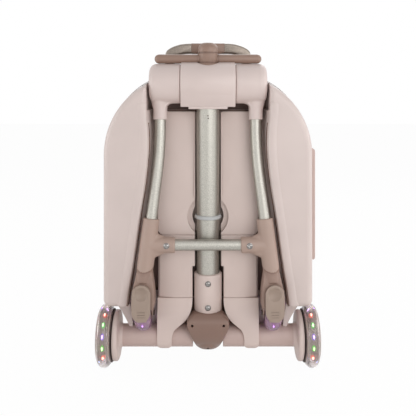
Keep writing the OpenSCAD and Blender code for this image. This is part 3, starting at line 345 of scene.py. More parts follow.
# %% Moulded plastic
def moulded_plastic(name, colour, roughness=0.42, grain_mm=0.9, grain_depth=0.05):
    material, tree, place = finish_of(name)
    flow = add(tree, "TexNoise", Vector=place, Scale=1000 / 60, Detail=2.0)
    base = light(colour)
    tone = ramp(tree, flow.outputs["Fac"], toned(base, 0.965), toned(base, 1.02), 0.3, 0.7)
    grain = add(tree, "TexNoise", Vector=place, Scale=1000 / grain_mm, Detail=1.0)
    rough = add(tree, "MapRange", Value=grain.outputs["Fac"], To_Min=roughness - 0.05,
                To_Max=roughness + 0.05)
    bump = add(tree, "Bump", Height=grain.outputs["Fac"], Strength=0.25, Distance=grain_depth * mm)
    return principled(material, Base_Color=tone, Roughness=rough.outputs["Result"],
                      Normal=bump.outputs["Normal"], IOR=1.53)


shell_plastic = moulded_plastic("abs_shell_pale_pink", "#D3C4BF", 0.4)
barrel_plastic = moulded_plastic("abs_barrel_pale_pink", "#D6C6C1", 0.42)
cover_plastic = moulded_plastic("abs_cover_pink", "#D7C5BE", 0.5)
beam_plastic = moulded_plastic("abs_beam_rose", "#C4ADA6", 0.5)
bracket_plastic = moulded_plastic("nylon_bracket_taupe", "#AB9387", 0.45)
fork_plastic = moulded_plastic("nylon_fork_brown", "#957B6F", 0.45)
pedal_plastic = moulded_plastic("nylon_pedal_taupe", "#9C897C", 0.5)
foot_plastic = moulded_plastic("nylon_foot_mauve_brown", "#866B5F", 0.42)
bar_plastic = moulded_plastic("abs_bar_rose_brown", "#917668", 0.45)
collar_plastic = moulded_plastic("acetal_collar_grey", "#B9BABA", 0.35)
# The darker brown for the inside of the bay is painted shade for that deep recess.
bay_painted_shade = moulded_plastic("abs_bay_painted_shade", "#80685F", 0.5)
rim_mauve = moulded_plastic("polyurethane_band_mauve_grey", "#85746F", 0.3)
foot_rubber = moulded_plastic("rubber_foot_dark_brown", "#4A3B37", 0.75, 1.2, 0.1)

# %% [markdown]
# ## Anodised aluminium
# The tubes are aluminium, blasted with beads and anodised champagne. Blasting leaves pits of
# about 0.3 mm, drawn at 0.8 mm so that they show, which spread the reflections into a soft
# bright band along the tube. It is a metal, so its colour comes from its reflections. The
# carry handle also has shallow ribs 19 mm apart.


# %% Anodised aluminium
WAVE = 1000 / 20  # a wave texture at this scale repeats every 6.3 mm


def anodised(name, colour, roughness, ribs=0):
    material, tree, place = finish_of(name)
    pits = add(tree, "TexNoise", Vector=place, Scale=1000 / 0.8, Detail=3.0)
    base = light(colour)
    tone = ramp(tree, pits.outputs["Fac"], toned(base, 0.7), toned(base, 1.15), 0.35, 0.65)
    height = pits.outputs["Fac"]
    if ribs:
        wave = add(tree, "TexWave", {"bands_direction": "Z"}, Vector=place, Scale=WAVE / ribs)
        ridged = add(tree, "Math", {"operation": "MULTIPLY_ADD"}, i0=wave.outputs["Fac"], i1=4.0, i2=height)
        height = ridged.outputs[0]
    bump = add(tree, "Bump", Height=height, Strength=0.3, Distance=0.06 * mm)
    return principled(material, Base_Color=tone, Metallic=1.0, Roughness=roughness,
                      Normal=bump.outputs["Normal"])


tube_metal = anodised("aluminium_champagne_blasted", "#B6B3AB", 0.46)
arch_metal = anodised("aluminium_champagne_ribbed", "#8C8279", 0.38, ribs=3)
dark_steel = anodised("steel_blackened", "#5A504C", 0.4)

# %% [markdown]
# ## Chromed steel
# The screws are steel plated with chrome: a mirror, with only a trace of fine scratches.

# %% Chromed steel
screw_chrome, tree, place = finish_of("steel_chrome_plated")
scratch = add(tree, "TexNoise", Vector=place, Scale=1000 / 2.0, Detail=2.0)
rough = add(tree, "MapRange", Value=scratch.outputs["Fac"], To_Min=0.08, To_Max=0.2)
principled(screw_chrome, Base_Color=light("#8F8C8A"), Metallic=1.0, Roughness=rough.outputs["Result"])

# %% [markdown]
# ## Woven cloth
# The zip tape is nylon and the lining is polyester. Two sets of bands, crossed, stand for
# the pattern of the weave: they are 6.3 mm apart on the tape and 8.8 mm on the lining.


# %% Woven cloth
def woven(name, colour, spacing, sheen):
    material, tree, place = finish_of(name)
    turned_place = add(tree, "Mapping", Vector=place, Rotation=(0.7, 0.6, 0.78)).outputs["Vector"]
    across, along = (add(tree, "TexWave", {"bands_direction": axis}, Vector=turned_place,
                         Scale=WAVE / spacing).outputs["Fac"] for axis in "XY")
    weave = add(tree, "Math", {"operation": "MAXIMUM"}, i0=across, i1=along)
    base = light(colour)
    tone = ramp(tree, weave.outputs[0], toned(base, 0.55), base)
    bump = add(tree, "Bump", Height=weave.outputs[0], Strength=0.5, Distance=0.15 * mm)
    return principled(material, Base_Color=tone, Roughness=0.8, Normal=bump.outputs["Normal"],
                      Sheen_Weight=sheen, Sheen_Roughness=0.4)


tape_cloth = woven("nylon_zip_tape_brown", "#6A4E44", 1.0, 0.2)
lining_cloth = woven("polyester_lining_mauve", "#A3939A", 1.4, 0.4)

# %% [markdown]
# ## Clear tyre and lights
# The tyres are clear polyurethane with a cloudy tint, cast over a strip of small lamps.
# Light passes through and bends a little, with an IOR of 1.42. The small wheels are more
# mauve and let less through. Each lamp's colour is kept as a colour attribute on its faces.


# %% Clear tyre and lights
def clear_plastic(name, low, high, transmission):
    material, tree, place = finish_of(name)
    cloud = add(tree, "TexNoise", Vector=place, Scale=1000 / 12, Detail=2.0)
    tone = ramp(tree, cloud.outputs["Fac"], light(low), light(high))
    return principled(material, Base_Color=tone, Roughness=0.06, IOR=1.42,
                      Transmission_Weight=transmission)


tyre_clear = clear_plastic("polyurethane_tyre_clear", "#DCD0CC", "#F0E9E5", 0.86)
small_clear = clear_plastic("polyurethane_small_wheel_mauve", "#B894AC", "#CBAEC0", 0.55)

lamp_glow, tree, place = finish_of("lamp_lit")
tint = add(tree, "VertexColor", {"layer_name": "lamp_colour"})
grain = add(tree, "TexNoise", Vector=place, Scale=1000 / 3, Detail=1.0)
mixed = add(tree, "Mix", {"data_type": "RGBA"}, i0=grain.outputs["Fac"], i6=tint.outputs["Color"],
            i7=tint.outputs["Color"])
principled(lamp_glow, Base_Color=mixed.outputs[2], Roughness=0.3, Emission_Color=mixed.outputs[2],
           Emission_Strength=5.0)

# %% [markdown]
# ## Handing a piece over
# A finished piece gets its material, rides on the body it belongs to, and stands for the
# solids that it replaces.


# %% Handing a piece over
def painted(piece, material):
    piece.data.materials.clear()
    piece.data.materials.append(material)
    for face in piece.data.polygons:
        face.material_index = 0


def hand_over(piece, body, material, slot, *replaced):
    painted(piece, material)
    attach(piece, body)
    if replaced:
        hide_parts(*replaced)
    print(f"{piece.name}: {len(piece.data.polygons)} faces")
    return piece


def hand_over_pair(piece, body, material, slot, node=None, place=Matrix()):
    """Hands over a piece of the right side, set in place, and its mirrored copy for the left."""
    piece.data.transform(place)
    left = copied(piece, piece.name.replace("right", "left"), MIRROR)
    for word, each in (("right", piece), ("left", left)):
        stood_for = [f"{node}_{word}"] if node else []
        hand_over(each, body.replace("right", word), material, slot, *stood_for)


# %% [markdown]
# ## Camera, light and floor
# The photograph looks level at the back of the case from about a metre away and from the
# height of the barrel. Its verticals are parallel, so the camera is level and the lens is
# shifted down as far as the framing needs.

# %% Camera
bpy.ops.object.camera_add(location=(0, -1.0515, 0.4675), rotation=(math.radians(90), 0, 0))
camera = bpy.context.object
PICTURE, SENSOR = 416, 36
camera.data.lens = 600 / PICTURE * SENSOR
camera.data.shift_y = -124 / PICTURE
camera.data.clip_start = 0.05
bpy.context.scene.camera = camera
print("lens", round(camera.data.lens, 1), "mm, shift", round(camera.data.shift_y, 3))

# %% [markdown]
# The light is a bright tent: a wide soft lamp in front on the right, a weaker one on the left,
# one at each side, one behind and above, and an even world. The camera, clear parts and
# reflections see the world as plain white.


# %% Light
def seen_straight(tree):
    """1 for rays of the camera, through clear parts and off shiny ones, and 0 for the others."""
    ray = add(tree, "LightPath")
    seen = ray.outputs["Is Camera Ray"]
    for kind in ("Is Transmission Ray", "Is Glossy Ray"):
        seen = add(tree, "Math", {"operation": "MAXIMUM"}, i0=seen, i1=ray.outputs[kind]).outputs[0]
    return seen


scene = bpy.context.scene
scene.view_settings.view_transform = "Standard"
MIDDLE = Vector((0, 0, 0.27))
LAMPS = [  # name, place in metres, width in metres, power in watts
    ("lamp_key", (0.8, -1.7, 0.8), 1.3, 12.5),
    ("lamp_fill", (-1.0, -1.5, 0.1), 1.2, 3.5),
    ("lamp_left", (-1.5, -0.25, 0.6), 1.0, 7),
    ("lamp_right", (1.5, -0.25, 0.6), 1.0, 7),
    ("lamp_rim", (0.3, 1.2, 1.4), 1.2, 8),
]
for name, place, size, power in LAMPS:
    aim = (MIDDLE - Vector(place)).to_track_quat("-Z", "Y").to_euler()
    bpy.ops.object.light_add(type="AREA", location=place, rotation=aim)
    lamp = bpy.context.object
    lamp.name, lamp.data.size, lamp.data.energy = name, size, power
world = scene.world or bpy.data.worlds.new("studio")
scene.world = world
world.use_nodes = True
world.node_tree.nodes.clear()
tree = world.node_tree
level = add(tree, "MapRange", Value=seen_straight(tree), To_Min=0.45, To_Max=1.0)
background = add(tree, "Background", Color=(1, 1, 1, 1), Strength=level.outputs["Result"])
add(tree, "OutputWorld", Surface=background.outputs["Background"])

# %% [markdown]
# The floor looks nearly white where it is seen straight, and is pale paper for all other
# rays, so that it keeps the object's soft shadow.

# %% Floor
bpy.ops.mesh.primitive_plane_add(size=12)
floor = named("floor_pale")
pale, tree, place = finish_of("floor_pale_paper")
share = add(tree, "Math", {"operation": "MULTIPLY"}, i0=seen_straight(tree), i1=0.97)
paper = add(tree, "BsdfDiffuse", Color=light("#F2F0EE"))
white = add(tree, "Emission", Color=(1, 1, 1, 1), Strength=1.0)
mix = add(tree, "MixShader", Fac=share.outputs[0], i1=paper.outputs["BSDF"], i2=white.outputs["Emission"])
add(tree, "OutputMaterial", Surface=mix.outputs["Shader"])
floor.data.materials.append(pale)

# %% [markdown]
# ## The two halves of the case
# Each half is a tray of 2.6 mm ABS: an outline with two big shoulders and two small lower
# corners, pulled out from the parting line, drawn in a little, with a broad round edge. The
# back half also has the bay for the folded frame, cut with a tool whose mouth flares out, so
# that the bay gets a soft lip.


# %% Case halves
def case_outline(half, top, bottom, shoulder, low, steps, low_steps):
    """The outline of the case, with its shoulder and lower corner radii."""
    x, z = half - shoulder, top - shoulder
    upper = arc(x, z, shoulder, 0, 90, steps) + arc(-x, z, shoulder, 90, 180, steps)
    x, z = half - low, bottom + low
    return upper + arc(-x, z, low, 180, 270, low_steps) + arc(x, z, low, 270, 360, low_steps)


BACK, LID = 1, -1


def case_half(name, way, inset=0.0):
    """One half of the case as a solid, drawn in by inset mm all round."""
    half, shoulder = CASE_W / 2 - inset, (131.5 if way == BACK else 127.5) - inset
    outline = case_outline(half, CASE_TOP - inset, CASE_LOW + inset, shoulder, 11.0 - 0.5 * inset, 28, 10)
    face_y = PART_Y - way * (99.85 - inset)
    tray = pulled(name, outline, PART_Y - way * 0.15, face_y)
    choose(tray, "verts", lambda p: abs(p.y - face_y) < 1)
    draft = ((half - 3.5) / half, 1, 187.5 / 191)
    bpy.ops.transform.resize(value=draft, center_override=(0, 0, CASE_MIDDLE * mm))
    bpy.ops.mesh.select_mode(type="EDGE")
    return bevel_chosen(tray, 10.5 - inset, 9)


def hollow(tray, thickness=2.6):
    """Opens the half at the parting line and leaves a wall of even thickness."""
    choose(tray, "faces", lambda p: abs(p.y - PART_Y) < 0.2)
    bpy.ops.mesh.delete(type="FACE")
    done(tray)
    modify(tray, "SOLIDIFY", thickness=thickness * mm, offset=-1)
    return smooth_by(tray, 32)


hand_over(hollow(case_half("lid_shell_moulded", LID)), "lid", shell_plastic, "shell", "front_shell")

# %% [markdown]
# The bay's wall sweeps outwards below the middle. The tool is lofted as a grid: rows run up
# the wall, and columns go from the bay's floor out to its flared mouth.

# %% Bay for the folded frame
wall = eased([(91, 133.5), (104, 131.3), (136, 127), (168, 121.8), (200, 117.2), (257, 109.5),
              (313, 101), (362, 96.6), (395, 97.2), (424, 99.6), (500, 99.6)], 5)
LIP = 9.0
LIP_Y = -86.5 + LIP


def bay_tool(out=0.0):
    """The room of the bay, grown by out mm on its walls and floor."""
    depths = [(FLOOR_Y + out, out - 7.0), (-50, out - 4.0), (LIP_Y, out - 0.6)]
    for t in (0.4, 0.8, 1.1, 1.35, math.pi / 2):
        depths.append((LIP_Y - LIP * math.sin(t), LIP * (1 - math.cos(t)) + out - 0.6))
    depths.append((-92, LIP + out - 0.2))
    grid = [[Vector((x + grow, y, z)) for y, grow in depths] for z, x in wall]
    points, faces = [], []
    for row in grid:
        points += row + [Vector((-p.x, p.y, p.z)) for p in reversed(row)]
    wide = 2 * len(depths)
    for i in range(len(grid) - 1):
        for k in range(wide):
            n = (k + 1) % wide
            faces.append((i * wide + k, i * wide + n, (i + 1) * wide + n, (i + 1) * wide + k))
    faces += [tuple(range(wide)), tuple(range((len(grid) - 1) * wide, len(grid) * wide))]
    return turned_out(from_points("bay_tool", [p * mm for p in points], [], faces))


back = case_half("back_shell_moulded", BACK)
cut(back, bay_tool(), soften(box("pocket_tool", (-100, -100, 424), (100, -12.5, 510)), 2))
hand_over(hollow(back), "case", shell_plastic, "shell", "back_shell")
# The faces of the bay's floor take the darker brown: painted shade for the recess.
back.data.materials.append(bay_painted_shade)
for face in back.data.polygons:
    middle = face.center / mm
    if abs(middle.x) < 134 and -66 < middle.y < -10 and 100 < middle.z < 482 and abs(face.normal.y) > 0.5:
        face.material_index = 1

# %% [markdown]
# Both halves are lined with thin polyester cloth, 1 mm thick, that follows the shell just
# inside its wall and lies a little uneven.


# %% Linings
def lined(solid, body, replaced):
    cloth = hollow(solid, 1.0)
    modify(cloth, "TRIANGULATE")
    modify(cloth, "SUBSURF", subdivision_type="SIMPLE", levels=1)
    folds = bpy.data.textures.new("folds", "CLOUDS")
    folds.noise_scale = 0.03
    modify(cloth, "DISPLACE", texture=folds, strength=0.7 * mm)
    return hand_over(cloth, body, lining_cloth, "lining", replaced)


INSIDE = 3.3
room = case_half("back_lining_cloth", BACK, INSIDE)
pocket = box("pocket_tool", (-100 - INSIDE, -100, 424 - INSIDE), (100 + INSIDE, -12.5 + INSIDE, 510))
cut(room, bay_tool(INSIDE), pocket)
lined(room, "case", "back_lining")
lined(case_half("lid_lining_cloth", LID, INSIDE), "lid", "front_lining")

# %% [markdown]
# A thin gasket runs down both walls of the bay, a finger's width behind the lip. The edge of
# the bay is a low rounded ridge: a round rod along the wall, pressed flat.


# %% Gaskets and lips of the bay
def along_wall(name, out, y, top, every, radius, sides):
    """A chain of rods down both walls of the bay, up to the height top."""
    links = []
    for side in (-1, 1):
        course = [(side * (x + out), y, z) for z, x in wall if 104 < z < top][::every]
        links += [rod("link", a, b, radius, sides) for a, b in zip(course, course[1:])]
    return joined(name, *links)


hand_over(along_wall("bay_gaskets", -1.2, -75, 424, 3, 1.1, 10), "case", tape_cloth, "brown_trim")
ridge = melted(along_wall("bay_ridges", 8.5, 0, 450, 2, 8, 32), 1.5, 8)
ridge.data.transform(Matrix.Translation((0, -84.5 * mm, 0)) @ Matrix.Diagonal((1, 0.32, 1, 1)))
hand_over(ridge, "case", shell_plastic, "shell")

# %% [markdown]
# ## Zip
# Two woven tapes stand out round the parting line. The teeth of the zip are a chain of small
# blocks, each set half a step from those of the other half.


# %% Zip
def outline_points(grow, step):
    """Points step mm apart along the case's outline, grown outwards, with their direction."""
    low, high = CASE_LOW - grow, CASE_TOP + grow
    path = case_outline(CASE_W / 2 + grow, high, low, 127.5 + grow, 16.0 + grow, 40, 12)
    path.append(path[0])
    found, carried = [], 0.0
    for (x0, z0), (x1, z1) in zip(path, path[1:]):
        length = math.hypot(x1 - x0, z1 - z0)
        while carried < length and length > 0:
            t = carried / length
            found.append((x0 + (x1 - x0) * t, z0 + (z1 - z0) * t, math.atan2(z1 - z0, x1 - x0)))
            carried += step
        carried -= length
    return found


def zip_teeth(name, body, near, far, start):
    teeth = []
    for i, (x, z, turn) in enumerate(outline_points(1.5, 2.0)):
        if i % 2 == start:
            middle = Vector((x, (near + far) / 2, z)) * mm
            bpy.ops.mesh.primitive_cube_add(size=1, location=middle, rotation=(0, -turn, 0))
            bpy.context.object.scale = (1.3 * mm, (far - near) * mm, 1.1 * mm)
            teeth.append(bpy.context.object)
    chain = joined(name, *teeth)
    bpy.ops.object.transform_apply(location=True, rotation=True, scale=True)
    return hand_over(chain, body, bar_plastic, "brown_trim")


def zip_tape(name, body, near, far, replaced):
    ring = [(x, z) for x, z, turn in outline_points(0.2, 4.0)]
    tape = pulled(name, ring, near, far)
    inside = [(x * 0.955, CASE_MIDDLE + (z - CASE_MIDDLE) * 0.96) for x, z in ring]
    cut(tape, pulled("inside", inside, near - 5, far + 5))
    return hand_over(soften(tape, 0.3, 2), body, tape_cloth, "brown_trim", replaced)


zip_tape("zip_tape_case_woven", "case", PART_Y - 2.0, PART_Y - 0.1, "zip_tape_back")
zip_tape("zip_tape_lid_woven", "lid", PART_Y + 0.1, PART_Y + 2.0, "zip_tape_front")
zip_teeth("zip_teeth_case", "case", PART_Y - 2.4, PART_Y + 0.7, 0)
zip_teeth("zip_teeth_lid", "lid", PART_Y - 0.7, PART_Y + 2.4, 1)

# %% [markdown]
# ## Back cover
# The cover over the bay's floor leans towards the viewer at its foot. It starts as a box
# whose upper front edge is pushed back. Its lower outer corners are rounded, a channel takes
# the column, and a round scoop lets fingers reach the column's collar.


# %% Back cover
def scoop_tools():
    wide = rod("scoop_tool", (0, -48.5, 248), (0, -90, 248), 34, 72)
    return [wide, rod("pocket_tool", (0, -28.5, 248), (0, -90, 248), 26, 64)]


cover = box("back_cover_moulded", (-83, -59.5, 218.3), (83, FLOOR_Y, 421))
choose(cover, "verts", lambda p: p.y < -50 and p.z > 400)
bpy.ops.transform.translate(value=(0, 19 * mm, 0))
done(cover)
choose(cover, "edges", lambda p: abs(p.x) > 80 and p.z < 230 and -50 < p.y < -30)
bevel_chosen(cover, 10, 8)
channel = box("channel_tool", (-21.5, -90, 200), (21.5, -30.5, 440))
cut(cover, channel, *scoop_tools())
hand_over(soften(cover, 1.4), "case", cover_plastic, "panel", "back_cover")

# %% [markdown]
# The channel has a thin rim on both sides that catches the light.

# %% Channel rims
rims = [rod("rim", (side * 22.2, -57.4, 281), (side * 22.2, -40.9, 420), 0.9, 12) for side in (-1, 1)]
hand_over(joined("back_cover_rims", *rims), "case", cover_plastic, "panel")

# %% [markdown]
# ## Lower blocks and legs
# Two blocks carry on below the cover. Each is its plan pulled upwards, with a neck beside the
# column and its share of the scoop. A low strip closes the lower edge of the bay's floor.

# %% Lower blocks
plan = [(25.6, FLOOR_Y), (25.6, -61), (27, -62.5), (56, -62.5), (80, -57.5), (83, -54), (83, FLOOR_Y)]
block = pulled("block_moulded_right", plan, 115.3, 217.7, "Z")
neck_plan = [(21.5, FLOOR_Y), (21.5, -61), (23, -62.5), (40, -62.5), (40, FLOOR_Y)]
neck = pulled("neck", neck_plan, 167, 217.7, "Z")
cut(block, neck, keep="UNION")
cut(block, *scoop_tools())
choose(block, "edges", lambda p: p.x > 82.5 and p.z > 216 and p.y < -30)
bevel_chosen(block, 9, 6)
hand_over_pair(soften(block, 1.2), "case", cover_plastic, "panel", "block")
strip = soften(box("bay_strip", (-27, -24.4, 98), (27, -19, 112)), 0.6)
hand_over(strip, "case", beam_plastic, "panel")

# %% [markdown]
# Two legs run from the blocks over the beam. Each is the front outline, pulled through, and
# cut by the side outline. Their inner edges sweep apart around the foot of the column.

# %% Legs
inner = eased([(25.6, 114.7), (26.4, 103), (30, 91), (37, 81), (47, 72.5), (54.5, 66), (58, 58),
               (59.3, 50), (59.3, 43)], 5)
front = inner + arc(67.3, 42, 8, 180, 270, 6) + arc(75, 42, 8, 270, 360, 6) + [(83, 114.7)]
leg = pulled("leg_moulded_right", front, -80, -14)
side = [(FLOOR_Y, 114.7), (-62.5, 114.7)]
side += eased([(-62.5, 112), (-66, 99), (-72, 84), (-74, 68), (-74, 52)], 5)
side += arc(-52.5, 50, 21.5, 180, 360, 16) + [(-31, 60), (-27, 80), (FLOOR_Y, 95)]
cut(leg, pulled("leg_side", side, 20, 90, "X"), keep="INTERSECT")
cut(leg, on_axle(0, 100, 18))
hand_over_pair(soften(leg, 1.6), "case", cover_plastic, "panel", "leg")

# %% [markdown]
# ## Fins
# Outside each small wheel a thin fin curves from the underside of the case to the beam, and a
# web closes the space behind the wheel.

# %% Fins
outer = eased([(129.5, 62), (131, 69), (135, 78), (140, 87), (145, 95), (150, 104), (151, 116)], 5)
inner = eased([(128.5, 104), (127, 90), (124.5, 74), (124.5, 62)], 4)
fin = pulled("fin_moulded_right", outer + [(130, 116)] + inner, -59, -46)
cut(fin, on_axle(100, 160, 17.9), on_axle(142, 160, 43))
side = [(-40, 58), (-28.5, 58), (FLOOR_Y, 89.5), (FLOOR_Y, 112), (-29.5, 117), (-40, 109)]
web = pulled("web", side, 83, 121, "X")
link = box("link", (120, -50, 60), (129.5, -34, 99))
for part in (web, link):
    cut(part, on_axle(60, 160, 17.9))
soften(fin, 1.5)
fin = joined("fin_moulded_right", fin, soften(web, 1), soften(link, 1))
hand_over_pair(fin, "case", shell_plastic, "shell", "gusset")

# %% [markdown]
# ## Hub covers
# A round cover closes each end of the beam and flows into it with a hollow fillet. Its
# profile is turned about the axle.

# %% Hub covers
profile = [(140, 18)] + [(140 + 6 * math.sin(t), 24 - 6 * math.cos(t)) for t in (0.4, 0.8, 1.2, 1.5)]
profile += [(146.2, 30), (146.4, 36.6), (147, 38.4), (148.4, 39.6), (150.4, 40.1), (153.4, 39.9),
            (155, 38.8), (155.5, 37), (155.5, 7), (140, 7), (140, 18)]
hub = turned("hub_cover_moulded_right", profile, (0, AXLE_Y, AXLE_Z))
hand_over_pair(hub, "case", cover_plastic, "panel", "hub_cover")

# %% [markdown]
# ## Foot of the column
# A broad shield swells below the sleeve and narrows to the hinge on the axle. It is its front
# outline cut by its side outline, melted together with a bulb round the tube and the hinge
# barrel. Then it is cut clear of the beams, and gets three small holes and a bore.

# %% Foot
front = eased([(23, 94), (28, 90), (33, 86), (34.4, 82), (34.2, 76), (32, 69), (29, 61), (26, 54),
               (23, 47), (18.5, 41), (11, 37.6), (0, 36.4)], 3)
shield = pulled("foot_moulded", front + [(-x, z) for x, z in reversed(front[:-1])], -87, -56)
side = [(-54, 94), (-75.5, 94)]
side += eased([(-75.5, 94), (-83.5, 87), (-86.4, 79), (-85, 66), (-80.5, 53), (-72, 41.5), (-62, 37)], 3)
cut(shield, pulled("side", side + [(-54, 37)], -40, 40, "X"), keep="INTERSECT")
profile = [(94, 0), (94, 22.5), (90, 25), (84, 27), (68, 27), (50, 23), (50, 0)]
bulb = turned("bulb", profile, (0, AXLE_Y, 0), "Z", 48)
profile = [(-24, 0), (-24, 8), (-22, 13.5), (-18, 17.8), (-12, 21), (-6, 22.5)]
profile += [(-x, r) for x, r in reversed(profile)]
hinge = turned("hinge", profile, (0, AXLE_Y, AXLE_Z), "X", 64)
foot = melted(joined("foot_moulded", shield, bulb, hinge), 1.1, 30)
tools = [on_axle(s * 24.3, s * 60, 20, 48) for s in (-1, 1)]
tools += [rod("hole_tool", (x, -90, z), (x, -60, z), 2.2, 20) for x, z in ((-25.4, 78), (25.4, 78), (0, 33))]
tools.append(rod("bore", (0, AXLE_Y, 80), (0, AXLE_Y, 100), 19))
hand_over(smooth_by(cut(foot, *tools), 40), "column", foot_plastic, "dark_plastic", "column_foot")

# %% [markdown]
# ## Sleeve, collar and barrel
# A pink sleeve holds the tube in its foot, and two dome screws go through it. A grey collar
# sits halfway up.

# %% Sleeve and collar
profile = [(92.2, 19), (92.2, 20.5), (93, 22), (95, 23), (152.5, 23), (154.3, 22.3), (155, 21),
           (155, 19), (92.2, 19)]
sleeve = turned("sleeve_moulded", profile, (0, AXLE_Y, 0), "Z", 64)
hand_over(sleeve, "column", cover_plastic, "panel", "foot_sleeve")
profile = [(245, 19), (245, 21), (246, 22), (250, 22), (251, 21), (251, 19), (245, 19)]
collar = turned("collar_moulded", profile, (0, AXLE_Y, 0), "Z", 64)
hand_over(collar, "column", collar_plastic, "champagne_metal", "collar_ring")

# %% [markdown]
# On top of the column lies the middle of the saddle barrel, with a plate and a skirt round
# the tube, and a groove for the pull bar.

# %% Middle of the barrel
profile = [(-72, 0), (-72, 8), (-45, 8), (-45, 33.5), (-44.2, 35.3), (-42.5, 36)]
profile += [(-x, r) for x, r in reversed(profile)]
middle = turned("barrel_middle_moulded", profile, (0, AXLE_Y, HEAD_Z), "X", 96)
plate = soften(box("plate", (-32, -72.6, 426.5), (32, -41, 445)), 1.2)
side = [(-84.3, 451.1), (-73.2, 430.2), (-36, 430.2), (-36, 451.1)]
skirt = soften(pulled("skirt", side, -44.8, 44.8, "X"), 1.0)
cut(middle, plate, skirt, keep="UNION")
cut(middle, rod("bar_tool", (-50, AXLE_Y, BAR_Z), (50, AXLE_Y, BAR_Z), 8.4),
    rod("stem_tool", (0, AXLE_Y, HEAD_Z + 27.5), (0, AXLE_Y, HEAD_Z + 60), 19.8, 64),
    rod("tube_tool", (0, AXLE_Y, 400), (0, AXLE_Y, HEAD_Z - 12), 19))
hand_over(smooth_by(middle, 30), "column", barrel_plastic, "shell", "head_barrel")

# %% [markdown]
# ## Yoke ends
# Each end of the barrel turns with the swing frame and grows a socket for a side tube. A
# rounded drum, a rod and a cone are melted together, which gives the soft web between them.

# %% Yoke ends
profile = [(45.6, 0), (45.6, 32), (46.4, 33), (86, 33), (90.5, 32), (94, 29.2), (96.3, 25.5), (97, 21),
           (97, 0)]
drum = turned("yoke_moulded_right", profile, (0, 0, 0))
socket = rod("socket", (79, 0, 0), (79, 0, -60), 11.6)
web = rod("web", (79.2, 0, -43), (80.5, 0, -24), 11.6, 48, 15)
front = [(78, -26), (78, -46), (69.5, -46)] + arc(59.5, -43, 10, 0, 90, 8) + [(59.5, -26)]
fillet = pulled("fillet", front, -9, 9)
yoke = melted(joined("yoke_moulded_right", drum, socket, web, fillet), 1.2, 7)
cut(yoke, rod("tube_tool", (79, 0, -70), (79, 0, -30), 9.6),
    rod("shaft_tool", (40, 0, 0), (73, 0, 0), 8.2, 32))
hand_over_pair(smooth_by(yoke, 40), "frame", barrel_plastic, "shell", "yoke", swing_place)

# %% [markdown]
# ## T brackets
# A sleeve on each side tube with an arm for the cross tube. Where arm meets sleeve the real
# bracket has a broad web, here a flattened cone that the melting blends in. A thin dark disc
# at its slanted lower end makes the seam to the fork.


# %% T brackets
def leg_at(down):
    """A point on the right side tube's axis, down mm below the barrel's axis."""
    return 79 + 1.06 + (down - 120.8) * math.tan(math.radians(6.8)), 0, -down


def slanted(name, top, bottom, radius, end):
    """A rod round the side tube from top to bottom, cut off aslant at end."""
    piece = rod(name, leg_at(top), leg_at(bottom), radius, 64)
    tool = box("end_tool", (-40, -60, -40), (40, 60, 0))
    x = leg_at(297)[0]
    place = Matrix.Translation((x * mm, 0, -end * mm))
    tool.data.transform(place @ Matrix.Rotation(math.radians(34), 4, "X"))
    return cut(piece, tool)


CROSS_Z = -262
sleeve_rod = slanted("bracket_moulded_right", 220, 309, 13.5, 295.5)
arm_rod = rod("arm", (53, 0, CROSS_Z), leg_at(-CROSS_Z), 13, 64)
web = rod("web", (68, 0, CROSS_Z), leg_at(-CROSS_Z), 12.5, 48, 25)
web.data.transform(Matrix.Diagonal((1, 0.52, 1, 1)))
bracket = melted(joined("bracket_moulded_right", sleeve_rod, arm_rod, web), 1.1, 7)
cut(bracket, rod("tube_tool", leg_at(200), leg_at(243), 9.7),
    rod("cross_tool", (40, 0, CROSS_Z), (74, 0, CROSS_Z), 9.1))
smooth_by(bracket, 40)
seam = soften(slanted("bracket_seam_right", 284, 311, 13.35, 296.7), 0.2, 2)
hand_over_pair(seam, "frame", foot_plastic, "dark_plastic", place=swing_place)
hand_over_pair(bracket, "frame", bracket_plastic, "taupe_plastic", "bracket", swing_place)

# %% [markdown]
# ## Forks
# Each fork carries on from its bracket, widens, and splits into two cheeks round the small
# wheel. It is the front outline cut by the side outline, with the wheel's room taken out, and
# melted so that its edges become soft. A thin lip under the bracket makes the double seam.

# %% Forks
SMALL_Y, SMALL_Z = 24, -373
inner = eased([(91, -294), (89.4, -305), (88, -317), (86.8, -328), (86.3, -338), (86.3, -358),
               (88, -364), (91.4, -385)], 4)
outer = eased([(122, -385), (122, -349), (121.4, -338), (119.6, -328), (117, -317), (114.6, -305),
               (112.6, -294)], 4)
fork = pulled("fork_moulded_right", inner + outer, -14, 40)
side = [(12.5, -294), (-1, -294), (-5, -303), (-8.3, -314), (-9, -322), (-9, -357), (-6, -362), (3, -366)]
side += arc(SMALL_Y, SMALL_Z, 12, 180, 360, 12) + [(36, -355)]
cut(fork, pulled("side", side, 80, 130, "X"), keep="INTERSECT")
cut(fork, rod("wheel_room", (91.2, SMALL_Y, SMALL_Z), (118.8, SMALL_Y, SMALL_Z), 31, 64),
    box("below", (91.2, -20, -420), (118.8, 60, SMALL_Z)), box("lug_room", (97, -13, -344), (113, 4, -325)))
neck = rod("neck", leg_at(284), leg_at(326), 12.6, 64, 11.5)
cut(neck, box("flat_tool", (60, -40, -340), (140, -9, -320)))
fork = melted(joined("fork_moulded_right", fork, neck), 0.8, 9)
lip = soften(slanted("lip", 284, 311, 13.2, 299.3), 0.5, 2)
fork = joined("fork_moulded_right", fork, lip)
hand_over_pair(fork, "frame", fork_plastic, "fork_plastic", "fork", swing_place)

# %% [markdown]
# ## Pedals
# An oval plate with a dished thumb rest and three short ribs, on a pin, with a brake shoe
# behind it that presses on the small wheel.

